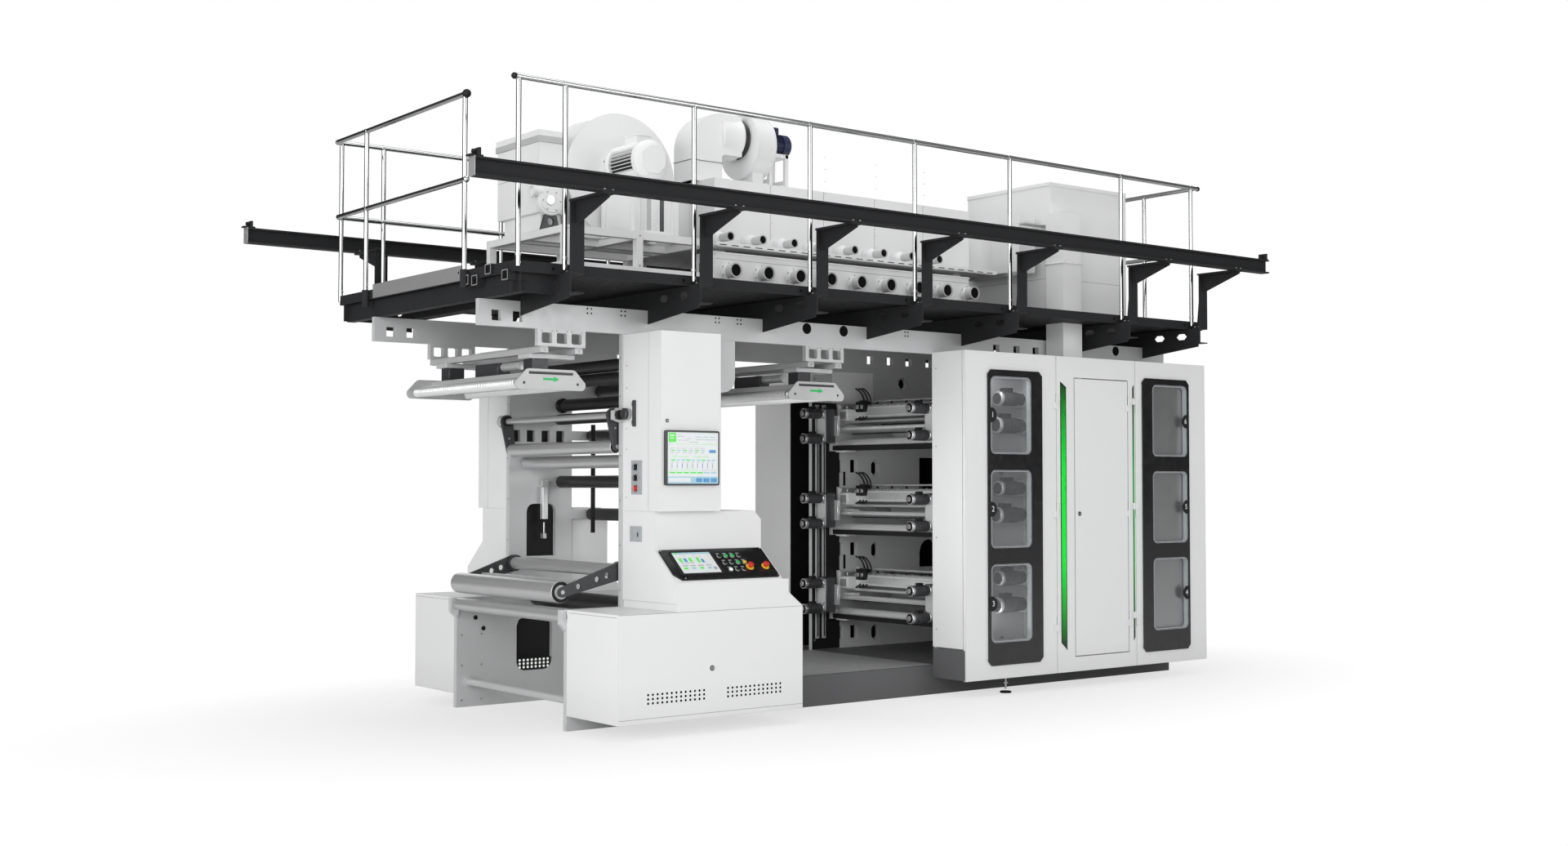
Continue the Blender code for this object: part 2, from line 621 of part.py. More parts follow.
def idler_rollers():
    for name, (x, z, radius) in IDLERS.items():
        finish = "steel" if name in BRIGHT_ROLLERS else "dark_rubber"
        profile = roller_profile(INNER - FLANGE_GAP, radius, JOURNAL, HALF - END_PLAY)
        make(name, finish, [turned("Y", x, z, profile)], pivot=(x, 0.0, z))


def arm_outline(start, end, radius_start, radius_end):
    """A tapered arm with round ends, drawn in x and z."""
    heading = math.degrees(math.atan2(end[1] - start[1], end[0] - start[0]))
    return (arc(*start, radius_start, heading + 90, heading + 270)
            + arc(*end, radius_end, heading - 90, heading + 90))


def arm_pair(start, end, radius_start, radius_end, inner_y, holes):
    """The two arms of a carrier, each bored at its outer end for a roller's journal."""
    outline = arm_outline(start, end, radius_start, radius_end)
    openings = [bore(*end, PIN)] + [circle(x, z, r, 6) for x, z, r in holes]
    return [prism("Y", outline, *sorted((side * inner_y, side * (inner_y + ARM_PLATE))), openings)
            for side in (NEAR, FAR)]


def dancer():
    end = along_dancer(1.0)
    arm_y = INNER - ARM_PLATE - FLANGE_GAP
    holes = [(*along_dancer(share), DANCER_HOLE) for share in DANCER_HOLE_SHARES]
    arms = arm_pair(DANCER_PIVOT, end, DANCER_ROOT, DANCER_TIP, arm_y, holes)
    tube = turned("Y", *DANCER_PIVOT,
                  roller_profile(arm_y + ARM_PLATE / 2, DANCER_TUBE_RADIUS, JOURNAL, HALF - END_PLAY))
    cross_rod = rod("Y", *along_dancer(DANCER_ROD_SHARE), DANCER_ROD, -arm_y - BITE, arm_y + BITE, 6)
    pivot = (DANCER_PIVOT[0], 0.0, DANCER_PIVOT[1])
    make("dancer_arm", "frame_grey", [arms[0], arms[1], tube, cross_rod], pivot=pivot)
    profile = roller_profile(arm_y - RUN_GAP, DANCER_ROLLER_RADIUS, PIN, arm_y + ARM_PLATE)
    make("dancer_roller", "steel", [turned("Y", *end, profile)], pivot=(end[0], 0.0, end[1]))


def swing_arm():
    end = swing_roller_place()
    arm_y = INNER - ARM_PLATE - FLANGE_GAP
    arms = arm_pair(SWING_PIVOT, end, SWING_TIP, SWING_TIP, arm_y, [])
    shaft = rod("Y", *SWING_PIVOT, SWING_SHAFT_RADIUS, -HALF + END_PLAY, HALF - END_PLAY)
    pivot = (SWING_PIVOT[0], 0.0, SWING_PIVOT[1])
    make("swing_arm", "frame_grey", [arms[0], arms[1], shaft], pivot=pivot)
    profile = roller_profile(arm_y - RUN_GAP, SWING_ROLLER_RADIUS, PIN, arm_y + ARM_PLATE)
    make("swing_roller", "steel", [turned("Y", *end, profile)], pivot=(end[0], 0.0, end[1]))


def tie_tube():
    reach = INNER - SEAT
    inner = reach - TIE_FLANGE_SHEET
    profile = [(-reach, TIE_FLANGE), (-inner, TIE_FLANGE), (-inner, TIE_RADIUS), (inner, TIE_RADIUS),
               (inner, TIE_FLANGE), (reach, TIE_FLANGE)]
    make("tie_tube", "panel_white", [turned("Y", TIE_X, TIE_Z, profile, 8)])


def console(name, side):
    y0, y1 = outward(side, SEAT, CABINET_DEPTH)
    shoulder = FRAME_LENGTH - SHOULDER_SET
    top = DESK_LOW - DOOR_SEAM
    front = [(0.0, CABINET_LOW), (FRAME_LENGTH, CABINET_LOW), (FRAME_LENGTH, FRAME_LOW),
             (shoulder, FRAME_LOW + SHOULDER_RISE), (shoulder, top),
             (CONSOLE_FRONT + PANEL_EDGE, top), (CONSOLE_FRONT + PANEL_EDGE, FRAME_LOW), (0.0, FRAME_LOW)]
    body = prism("Y", front, y0, y1)
    lip = CABINET_DEPTH - BITE
    profile = [(SEAT, DESK_FOOT), (lip, DESK_FOOT), (lip, DESK_LOW), (CONSOLE_DEPTH, DESK_HIGH),
               (CONSOLE_DEPTH, CONSOLE_HIGH), (SEAT, CONSOLE_HIGH)]
    desk = prism("X", [(side * (HALF + out), z) for out, z in profile], CONSOLE_FRONT, CONSOLE_REAR)
    cut = [(CONSOLE_REAR - CONSOLE_CORNER, CONSOLE_HIGH + STEP),
           (CONSOLE_REAR + STEP, CONSOLE_HIGH - CONSOLE_CORNER), (CONSOLE_REAR + PROUD, CONSOLE_HIGH + PROUD)]
    corner = prism("Y", cut, y0 - PROUD, y1 + PROUD)
    make(name, "panel_white", [body, desk], [corner])


def column_cover(name, side):
    low = CONSOLE_HIGH + SEAT
    y0, y1 = outward(side, SEAT, COVER_DOOR_DEPTH)
    body = box(CONSOLE_FRONT, COVER_REAR, y0, y1, low, COVER_HIGH)
    s0, s1 = outward(side, COVER_DEPTH, COVER_DEPTH + COVER_SEAM)
    ring = box(CONSOLE_FRONT - PROUD, COVER_REAR + PROUD, s0, s1, low - PROUD, COVER_HIGH + PROUD)
    core = box(CONSOLE_FRONT + COVER_SEAM, COVER_REAR - COVER_SEAM, s0 - PROUD, s1 + PROUD,
               low - 2 * PROUD, COVER_HIGH - COVER_SEAM)
    make(name, "panel_white", [body], [loose_difference(ring, core)])


def loose_difference(solid, cut):
    """One solid less another, as a bmesh again."""
    mesh = merged_mesh([solid], [cut])
    result = bmesh.new()
    result.from_mesh(mesh)
    bpy.data.meshes.remove(mesh)
    return result


def control_panel():
    """The sloping operating panel: local x along the desk, y up the slope, z out of it."""
    rise = DESK_HIGH - DESK_LOW
    run = CABINET_DEPTH - BITE - CONSOLE_DEPTH
    length = math.hypot(rise, run)
    width = CONSOLE_REAR - CONSOLE_FRONT - 2 * PANEL_MARGIN
    foot = -(HALF + CABINET_DEPTH - BITE)
    seat = (Matrix.Translation((CONSOLE_FRONT + PANEL_MARGIN, foot, DESK_LOW))
            @ Matrix.Rotation(math.atan2(rise, run), 4, "X") @ Matrix.Translation((0.0, 0.0, SEAT)))
    low, high = PANEL_EDGE, length - PANEL_EDGE
    root = PANEL_SHEET - BITE / 2
    sheet = prism("Z", [(PANEL_CUT_X, low), (width, low), (width, high), (0.0, high),
                        (0.0, low + PANEL_CUT_S)],
                  0.0, PANEL_SHEET)
    screen = prism("Z", rounded(PANEL_SCREEN_X, length / 2 + PANEL_SCREEN_UP, PANEL_SCREEN_WIDTH,
                                PANEL_SCREEN_HEIGHT, PANEL_SCREEN_CORNER), root, PANEL_SHEET + BITE)
    solids = [sheet, screen]
    for row, count in enumerate(BUTTON_ROWS):
        for column in range(count):
            x = BUTTON_X + column * BUTTON_PITCH_X
            y = length / 2 + (1 - row) * BUTTON_PITCH_S
            solids.append(rod("Z", x, y, BUTTON, root, PANEL_SHEET + PANEL_EDGE, 6))
    for x in STOP_PLACES:
        stem = [(root, STOP_NECK), (PANEL_SHEET + STOP_RISE, STOP_NECK),
                (PANEL_SHEET + STOP_RISE + BITE, STOP_HEAD), (PANEL_SHEET + STOP_HIGH, STOP_HEAD)]
        solids.append(turned("Z", x, length / 2 - BUTTON_PITCH_S, stem, 8))
    make("control_panel", "black", [moved(solid, seat) for solid in solids])


def column_screen():
    face = -(HALF + COVER_DOOR_DEPTH)
    middle_x = (SCREEN_FRONT + SCREEN_REAR) / 2
    middle_z = (SCREEN_LOW + SCREEN_HIGH) / 2
    width = SCREEN_REAR - SCREEN_FRONT
    height = SCREEN_HIGH - SCREEN_LOW
    body = prism("Y", rounded(middle_x, middle_z, width, height, SCREEN_CORNER), face - SCREEN_DEPTH,
                 face - SEAT)
    glass = prism("Y", rectangle(middle_x, middle_z, width - SCREEN_BEZEL, height - SCREEN_BEZEL),
                  face - SCREEN_DEPTH - PROUD, face - SCREEN_DEPTH + BITE / 2)
    make("column_screen", "black", [body], [glass])


# Overhead beams and web guides

def beam(name, side):
    outline = [(BEAM_REAR, BEAM_LOW), (BEAM_REAR, BEAM_HIGH), (BEAM_FRONT, BEAM_HIGH),
               (BEAM_FRONT, BEAM_LOW)]
    holes = []
    for front in TAB_FRONTS:
        rear = front + TAB_LENGTH
        outline += [(front, BEAM_LOW), (front, TAB_LOW), (rear, TAB_LOW), (rear, BEAM_LOW)]
        holes += [rounded((front + rear) / 2 + i * TAB_HOLE_PITCH, (TAB_LOW + BEAM_LOW) / 2,
                          TAB_HOLE_WIDTH,
                          TAB_HOLE_HEIGHT, TAB_HOLE_CORNER, 1) for i in (-1, 0, 1)]
    holes += [rectangle(x, BEAM_HOLE_Z, BEAM_HOLE, BEAM_HOLE) for x in BEAM_HOLES]
    holes += [circle(x, BOLT_HOLE_Z, BOLT_HOLE_RADIUS, 6) for x in BOLT_HOLES]
    make(name, "frame_grey", [prism("Y", outline, *plate_range(side), holes)])


def web_guide(name, front):
    """A steering frame with two rollers, hung from the beams' tabs."""
    rear = front + TAB_LENGTH
    high = TAB_LOW - SEAT
    low = high - GUIDE_RAIL_HEIGHT
    foot = low - GUIDE_FOOT_SHEET
    middle = (front + rear) / 2 - GUIDE_OFFSET
    solids = []
    for x in (front + GUIDE_RAIL_INSET, rear - GUIDE_RAIL_INSET):
        solids.append(box(x - GUIDE_RAIL_WIDTH / 2, x + GUIDE_RAIL_WIDTH / 2, -HALF, HALF, low, high))
    foot_y = INNER - GUIDE_FOOT_LENGTH
    for y in (-foot_y, foot_y):
        solids.append(box(front + PROUD, rear - PROUD, y - GUIDE_FOOT_INSET, y + GUIDE_FOOT_INSET, foot,
                          low + BITE))
        solids.append(box(middle - GUIDE_NECK / 2, middle + GUIDE_NECK / 2, y - GUIDE_NECK / 2,
                          y + GUIDE_NECK / 2,
                          GUIDE_BEAM_HIGH - BITE, foot + BITE))
    inner = HALF - GUIDE_PLATE_SHEET
    solids.append(box(middle - GUIDE_BEAM_WIDTH / 2, middle + GUIDE_BEAM_WIDTH / 2, -inner - BITE,
                      inner + BITE,
                      GUIDE_BEAM_LOW, GUIDE_BEAM_HIGH))
    half = GUIDE_PLATE_HALF
    outline = [(-half + GUIDE_PLATE_FOOT_CUT, GUIDE_PLATE_LOW), (half - GUIDE_PLATE_FOOT_CUT,
                                                                 GUIDE_PLATE_LOW),
               (half, GUIDE_ROLLER_Z), (half - GUIDE_PLATE_TOP_CUT, GUIDE_PLATE_HIGH),
               (-half + GUIDE_PLATE_TOP_CUT, GUIDE_PLATE_HIGH), (-half, GUIDE_ROLLER_Z)]
    for side in (NEAR, FAR):
        solids.append(prism("Y", [(middle + x, z) for x, z in outline], *plate_range(side, inner)))
    profile = roller_profile(INNER - PROUD, GUIDE_ROLLER_RADIUS, GUIDE_ROLLER_PIN, inner + BITE)
    for x in (middle - half + GUIDE_ROLLER_INSET, middle + half - GUIDE_ROLLER_INSET):
        solids.append(turned("Y", x, GUIDE_ROLLER_Z, profile, 8))
    make(name, "steel", solids)


# Walkway

def arm_places():
    return [ARM_FIRST + i * ARM_PITCH for i in range(ARM_COUNT)] + list(ARM_REST)


def channel(x, low, high, width, sheet):
    """A cross channel's outline in x and z: its web in front, its flanges to the rear."""
    front = x - width / 2
    rear = x + width / 2
    return [(front, low), (rear, low), (rear, low + sheet), (front + sheet, low + sheet),
            (front + sheet, high - sheet), (rear, high - sheet), (rear, high), (front, high)]


def walkway_arm(x, low):
    """One cross channel with its two gussets, and the slots cut through its overhangs."""
    reach = HALF + ARM_REACH
    front = x - ARM_WIDTH / 2
    solids = [prism("Y", channel(x, low, ARM_HIGH, ARM_WIDTH, ARM_SHEET), -reach, reach)]
    cuts = []
    for side in (NEAR, FAR):
        root, tip = side * (HALF + SEAT), side * (reach - GUSSET_SHORT)
        gusset = [(root, BEAM_HIGH - GUSSET_DROP), (tip, BEAM_HIGH - GUSSET_TIP), (tip, low + BITE),
                  (root, low + BITE)]
        solids.append(prism("X", gusset, front, front + ARM_SHEET))
        for out in SLOT_PLACES:
            slot = obround(side * (HALF + out), (low + ARM_HIGH) / 2, SLOT_LENGTH, SLOT_HEIGHT)
            cuts.append(prism("X", slot, front - PROUD, front + ARM_SHEET + STEP))
    return solids, cuts


def walkway_frame():
    low = BEAM_HIGH + SEAT
    foot = ARM_HIGH - BITE
    edge = HALF + DECK_REACH
    solids = []
    cuts = []
    for x in arm_places():
        more, slots = walkway_arm(x, low)
        solids += more
        cuts += slots
    cross = HALF + CROSS_REACH
    solids.append(prism("Y", channel(CROSS_FRONT, low, ARM_HIGH, CROSS_WIDTH, ARM_SHEET), -cross, cross))
    for side in (NEAR, FAR):
        solids.append(box(DECK_FRONT, DECK_REAR, *outward(side, DECK_REACH - DECK_EDGE, DECK_REACH),
                          foot, DECK_HIGH))
        y0, y1 = outward(side, CROSS_REACH - SIDE_CHANNEL_INSET, CROSS_REACH - SIDE_CHANNEL_INSET
                         + ARM_SHEET)
        solids.append(box(DECK_FRONT + BITE, CROSS_FRONT, y0, y1, low + STEP, ARM_HIGH + BITE))
        solids.append(box(CROSS_FRONT - BITE, ARM_FIRST, y0, y1, low + 2 * STEP, ARM_HIGH - 2 * STEP))
    inner = edge - BITE
    solids.append(box(DECK_FRONT, DECK_FRONT + DECK_EDGE, -inner, inner, foot, DECK_HIGH - STEP))
    solids.append(box(DECK_FRONT + STEP, DECK_FRONT + DECK_EDGE - STEP, -TOE_NEAR, TOE_FAR,
                      DECK_HIGH - PROUD, TOE_HIGH))
    for y in (-FRONT_POST_NEAR, FRONT_POST_FAR):
        top = DECK_HIGH - 2 * STEP
        solids.append(rod("Z", FRONT_RAIL_X, y, SLEEVE_RADIUS, top - SLEEVE_HEIGHT, top, 8))
    make("walkway_frame", "charcoal", solids, cuts)


def walkway_deck():
    half = HALF + DECK_REACH - DECK_EDGE - SEAT
    deck = box(DECK_FRONT + DECK_EDGE + SEAT, DECK_REAR, -half, half, ARM_HIGH + BITE + SEAT, DECK_HIGH)
    shaft = box(DUCT_FRONT - DUCT_MARGIN, DUCT_REAR + DUCT_MARGIN, DUCT_NEAR - DUCT_MARGIN, DUCT_FAR
                + DUCT_MARGIN,
                ARM_HIGH - PROUD, DECK_HIGH + PROUD)
    make("walkway_deck", "charcoal", [deck], [shaft])


def rail_post(x, y, low):
    return rod("Z", x, y, POST_TUBE, low, RAIL_HIGH, 6)


def long_handrail(name, side, heights):
    """A rail along the deck's side; its posts stand against the deck's edge channel."""
    y = side * (HALF + RAIL_REACH)
    solids = [rail_post(x, y, RAIL_POST_FOOT) for x in [RAIL_FIRST] + [x - RAIL_POST_BACK
                                                                       for x in arm_places()]]
    for z in heights:
        solids.append(rod("X", y, z, RAIL_TUBE, RAIL_FIRST - RAIL_OVERRUN, REAR_RAIL_X + RAIL_OVERRUN, 6))
    make(name, "chrome", solids)


def end_handrail(name, x, posts, start, end, low):
    solids = [rail_post(x, y, low) for y in posts]
    for z in (RAIL_MIDDLE, RAIL_HIGH):
        solids.append(rod("Y", x, z, RAIL_TUBE, start, end, 6))
    make(name, "chrome", solids)


def end_handrails():
    meet = HALF + RAIL_REACH - RAIL_TUBE - SEAT
    end_handrail("front_handrail", FRONT_RAIL_X, (-FRONT_POST_NEAR, FRONT_POST_FAR),
                 -FRONT_POST_NEAR - RAIL_TUBE, meet,
                 DECK_HIGH - 2 * STEP + SEAT)
    rear_post = HALF - REAR_POST_INSET
    end_handrail("rear_handrail", REAR_RAIL_X, (-rear_post, rear_post), -meet, meet, DECK_HIGH + SEAT)


def crane_post(x, side):
    """A post on an arm's end: a face plate, a web that widens to its foot, and a haunch under the rail."""
    low = CRANE_LOW
    foot = ARM_HIGH + SEAT
    face = ARM_REACH
    tip = CRANE_OUT + CRANE_FLANGE / 2
    web = [(face - POST_FOOT_DEPTH, foot), (face - POST_SHEET / 2, foot), (face - POST_SHEET / 2,
                                                                           low - HAUNCH_DROP),
           (face + HAUNCH_ROOT, low - HAUNCH_DROP), (tip - BITE, low - HAUNCH_TIP),
           (tip - BITE, low - PROUD),
           (face - POST_TOP_DEPTH, low - PROUD)]
    half = HAUNCH_WIDTH / 2
    return [box(x - ARM_WIDTH / 2, x + ARM_WIDTH / 2, *outward(side, face - POST_SHEET, face), foot,
                low - BITE),
            prism("X", [(side * (HALF + d), z) for d, z in web], x - POST_SHEET / 2, x + POST_SHEET / 2),
            box(x - half, x + half, *outward(side, face - POST_TOP_DEPTH - BITE, tip),
                low - HAUNCH_SHEET, low + BITE / 2)]


def crane_rail(name, side):
    out = side * (HALF + CRANE_OUT)
    flange, web = CRANE_FLANGE / 2, CRANE_WEB / 2
    low, high = CRANE_LOW, CRANE_LOW + CRANE_DEPTH
    sheet = CRANE_FLANGE_SHEET
    section = [(-flange, low), (flange, low), (flange, low + sheet), (web, low + sheet),
               (web, high - sheet),
               (flange, high - sheet), (flange, high), (-flange, high), (-flange, high - sheet),
               (-web, high - sheet), (-web, low + sheet), (-flange, low + sheet)]
    solids = [prism("X", [(out + y, z) for y, z in section], CRANE_FRONT, CRANE_REAR)]
    for x in (CRANE_FRONT + STOP_INSET, CRANE_REAR - STOP_INSET):
        solids.append(box(x - STOP_SHEET / 2, x + STOP_SHEET / 2, out - flange, out + flange, high - BITE,
                          high + STOP_HEIGHT))
    for x in arm_places():
        solids += crane_post(x, side)
    make(name, "charcoal", solids)


# Print unit

def platform():
    make("platform", "charcoal",
         [box(PLATFORM_FRONT, PRINT_REAR, -HALF, HALF + FAR_CABINET_OUTER, 0.0, PLATFORM_HIGH)])


def level_heights():
    return [LEVEL_LOW + i * LEVEL_PITCH for i in range(LEVELS)]


def print_frame(name, side):
    low, high = PLATFORM_HIGH + SEAT, BEAM_LOW - SEAT
    outline = [(PRINT_FRONT, low), (PRINT_REAR, low), (PRINT_REAR, high), (PRINT_FRONT, high)]
    holes = []
    for sign in (-1, 1):
        holes.append(circle(PRINT_MIDDLE + sign * TOP_HOLE_OUT, TOP_HOLE_Z, TOP_HOLE_RADIUS, 10))
        for z in level_heights():
            slot = obround(z - LEVEL_SLOT_DROP, PRINT_MIDDLE + sign * LEVEL_SLOT_OUT, LEVEL_SLOT_HEIGHT,
                           LEVEL_SLOT_WIDTH)
            holes.append([(b, a) for a, b in slot])
            for out, width in LEVEL_WINDOWS:
                holes.append(rectangle(PRINT_MIDDLE + sign * out, z - LEVEL_WINDOW_DROP, width,
                                       LEVEL_WINDOW_HEIGHT))
    holes.append(arc(PRINT_MIDDLE, DOORWAY_SPRING, DOORWAY_RADIUS, 0, 180, 6)
                 + [(PRINT_MIDDLE - DOORWAY_RADIUS, DOORWAY_LOW), (PRINT_MIDDLE + DOORWAY_RADIUS,
                                                                   DOORWAY_LOW)])
    holes.append(rectangle(PRINT_MIDDLE, HATCH_Z, HATCH_WIDTH, HATCH_HEIGHT))
    solids = [prism("Y", outline, *plate_range(side), holes)]
    y0, y1 = sorted((side * (INNER - GUIDE_SHEET), side * (INNER + BITE)))
    for sign in (-1, 1):
        for out in GUIDE_OUTS:
            x0, x1 = sorted((PRINT_MIDDLE + sign * out, PRINT_MIDDLE + sign * (out - GUIDE_WIDTH)))
            solids.append(box(x0, x1, y0, y1, GUIDE_LOW, GUIDE_HIGH))
    make(name, "frame_grey", solids)


def print_station(name, level, sign):
    """One inking and printing deck. Sign -1 puts it on the front of the print unit, 1 on the rear."""
    wall = INNER - GUIDE_SHEET - SEAT
    reach = wall - CARRIER_SHEET + BITE
    inner = wall - END_BOX_DEPTH

    def place(out):
        return PRINT_MIDDLE + sign * out

    def block(out, width, low, high, y0=-reach, y1=reach):
        return box(*sorted((place(out), place(out - width))), y0, y1, level + low, level + high)

    def roll(out, up, radius, segments):
        return rod("Y", place(out), level + up, radius, -reach, reach, segments)

    solids = [block(CHAMBER_OUT, CHAMBER_WIDTH, CHAMBER_LOW, CHAMBER_HIGH),
              roll(CHAMBER_ROD_OUT, CHAMBER_ROD_UP, CHAMBER_ROD, 6), roll(WEB_ROLL_OUT, -WEB_ROLL_DROP,
                                                                          WEB_ROLL, 8),
              roll(INK_ROLL_OUT, INK_ROLL_UP, INK_ROLL, 8), roll(PLATE_ROLL_OUT, PLATE_ROLL_UP,
                                                                 PLATE_ROLL, 8),
              roll(PRESS_ROLL_OUT, PRESS_ROLL_UP, PRESS_ROLL, 8),
              block(SPLASH_OUT, SPLASH_WIDTH, -SPLASH_LOW, SPLASH_SHEET - SPLASH_LOW),
              prism("Y", [(place(out), level + up) for out, up in TRAY], -reach, reach)]
    for side in (NEAR, FAR):
        y0, y1 = sorted((side * (wall - CARRIER_SHEET), side * wall))
        solids.append(prism("Y", [(place(out), level + up) for out, up in CARRIER], y0, y1))
        y0, y1 = sorted((side * inner, side * reach))
        solids.append(block(SLIDE_OUT, SLIDE_WIDTH, SLIDE_LOW, SLIDE_HIGH, y0, y1))
        y0, y1 = sorted((side * inner, side * (wall - BITE)))
        solids.append(block(GEAR_BOX_OUT, GEAR_BOX_WIDTH, -GEAR_BOX_LOW, GEAR_BOX_HIGH, y0, y1))
        for up in (-SERVO_UP, SERVO_UP):
            x0, x1 = sorted((place(SERVO_OUT), place(SERVO_OUT - SERVO_LENGTH)))
            solids.append(rod("X", side * (wall - SERVO_INSET), level + up, SERVO_RADIUS, x0, x1, 6))
    make(name, "steel", solids)


def print_cabinet():
    """The housing before the print unit on the operator side, open towards its doors."""
    y_back = -(HALF + SEAT)
    y_front = -(HALF + DOOR_FACE - DOOR_SHEET - RUN_GAP)
    face = -(HALF + DOOR_FACE)
    left, right = DOOR_LEFT + DOOR_SEAM / 2, DOOR_RIGHT - DOOR_SEAM / 2
    solids = [box(x, x + SHEET, y_front, y_back, CABINET_FOOT, CABINET_TOP)
              for x in (CABINET_FRONT, CABINET_REAR - SHEET)]
    solids += [box(x, x + SHEET, y_front - PROUD, y_back, CABINET_FOOT, CABINET_TOP)
               for x in (left, right - SHEET)]
    for z in (CABINET_FOOT, CABINET_TOP - SHEET):
        solids.append(box(CABINET_FRONT + STEP, CABINET_REAR - STEP, y_front + STEP, y_back - STEP, z,
                          z + SHEET))
    panel = [(left, DOOR_LOW), (right, DOOR_LOW), (right, CABINET_TOP), (left, CABINET_TOP)]
    opening = [(SERVICE_LEFT, SERVICE_LOW), (SERVICE_RIGHT, SERVICE_LOW), (SERVICE_RIGHT, SERVICE_HIGH),
               (SERVICE_LEFT, SERVICE_HIGH)]
    solids.append(prism("Y", panel, face, face + DOOR_SHEET + BITE, [opening]))
    for x, side in ((DOOR_LEFT, 1), (DOOR_RIGHT, -1), (SERVICE_RIGHT - DOOR_SEAM / 2, 1)):
        solids += hinge_halves(x, side, 1)
    make("near_print_cabinet", "panel_white", solids)


def hinge_halves(x, side, half):
    """Hinge barrels at a seam. Half 0 is the door's, half 1 the fixed one on the side given."""
    face = -(HALF + DOOR_FACE)
    solids = []
    for height in HINGE_HEIGHTS:
        low = height + half * BARREL_LENGTH
        high = low + BARREL_LENGTH
        solids.append(rod("Z", x, face - BARREL_OUT, BARREL, low + SEAT / 2, high - SEAT / 2, 6))
        near_edge, far_edge = sorted((x + side * LEAF_START, x + side * LEAF_END))
        solids.append(box(near_edge, far_edge, face - LEAF_SHEET, face + BITE / 2, low + LEAF_SHORT,
                          high - LEAF_SHORT))
    return solids


def window_door(name, glass_name, hinge_x, free_x):
    """A door with three windows and a raised bezel. It runs from its hinge seam to its free edge."""
    face = -(HALF + DOOR_FACE)
    way = 1 if hinge_x > free_x else -1
    x0, x1 = sorted((hinge_x - way * DOOR_SEAM / 2, free_x))
    window_x0, window_x1 = sorted((free_x + way * WINDOW_INSET, free_x + way * (WINDOW_INSET
                                                                                + WINDOW_WIDTH)))
    cuts = [box(window_x0, window_x1, face - 2 * PROUD, face + DOOR_SHEET + PROUD, low,
                low + WINDOW_HEIGHT)
            for low in [WINDOW_LOW + i * WINDOW_PITCH for i in range(WINDOWS)]]
    left, right = sorted((free_x + way * BEZEL_INSET, free_x + way * (BEZEL_INSET + BEZEL_WIDTH)))
    bezel = rounded((left + right) / 2, (BEZEL_LOW + BEZEL_HIGH) / 2, BEZEL_WIDTH,
                    BEZEL_HIGH - BEZEL_LOW, BEZEL_CORNER, 1)
    solids = [box(x0, x1, face, face + DOOR_SHEET, DOOR_LOW, CABINET_TOP),
              prism("Y", bezel, face - BEZEL_SHEET, face + BITE / 2)]
    solids += hinge_halves(hinge_x, -way, 0)
    pivot = (hinge_x, face - BARREL_OUT, 0.0)
    make(name, "panel_white", solids, cuts, pivot)
    pane_y = face + DOOR_SHEET + SEAT
    top = WINDOW_LOW + (WINDOWS - 1) * WINDOW_PITCH + WINDOW_HEIGHT
    pane = box(window_x0 - GLASS_MARGIN, window_x1 + GLASS_MARGIN, pane_y, pane_y + GLASS,
               WINDOW_LOW - GLASS_MARGIN,
               top + GLASS_MARGIN)
    make(glass_name, "glass", [pane], pivot=pivot)


def service_door():
    face = -(HALF + DOOR_FACE)
    hinge_x = SERVICE_RIGHT - DOOR_SEAM / 2
    x0, x1 = SERVICE_LEFT + DOOR_SEAM, hinge_x - DOOR_SEAM / 2
    leaf = box(x0, x1, face, face + DOOR_SHEET, SERVICE_LOW + DOOR_SEAM, SERVICE_HIGH - DOOR_SEAM)
    lock = rod("Y", x0 + LOCK_INSET, LOCK_Z, LOCK_RADIUS, face - LEAF_SHEET, face + BITE / 2, 8)
    make("service_door", "panel_white", [leaf, lock] + hinge_halves(hinge_x, -1, 0),
         pivot=(hinge_x, face - BARREL_OUT, 0.0))


def far_print_cabinet():
    y0, y1 = outward(FAR, FAR_CABINET_INNER, FAR_CABINET_OUTER)
    make("far_print_cabinet", "panel_white",
         [box(CABINET_FRONT + FAR_CABINET_INSET, CABINET_REAR - FAR_CABINET_INSET, y0, y1, PLATFORM_HIGH
              + SEAT,
              CABINET_TOP)])


# Plant on the roof

def legs(x0, x1, y0, y1, size, high):
    """Four square legs on the deck, inside a rectangle."""
    return [box(x, x + size, y, y + size, DECK_HIGH + SEAT, high) for x in (x0, x1 - size)
            for y in (y0, y1 - size)]


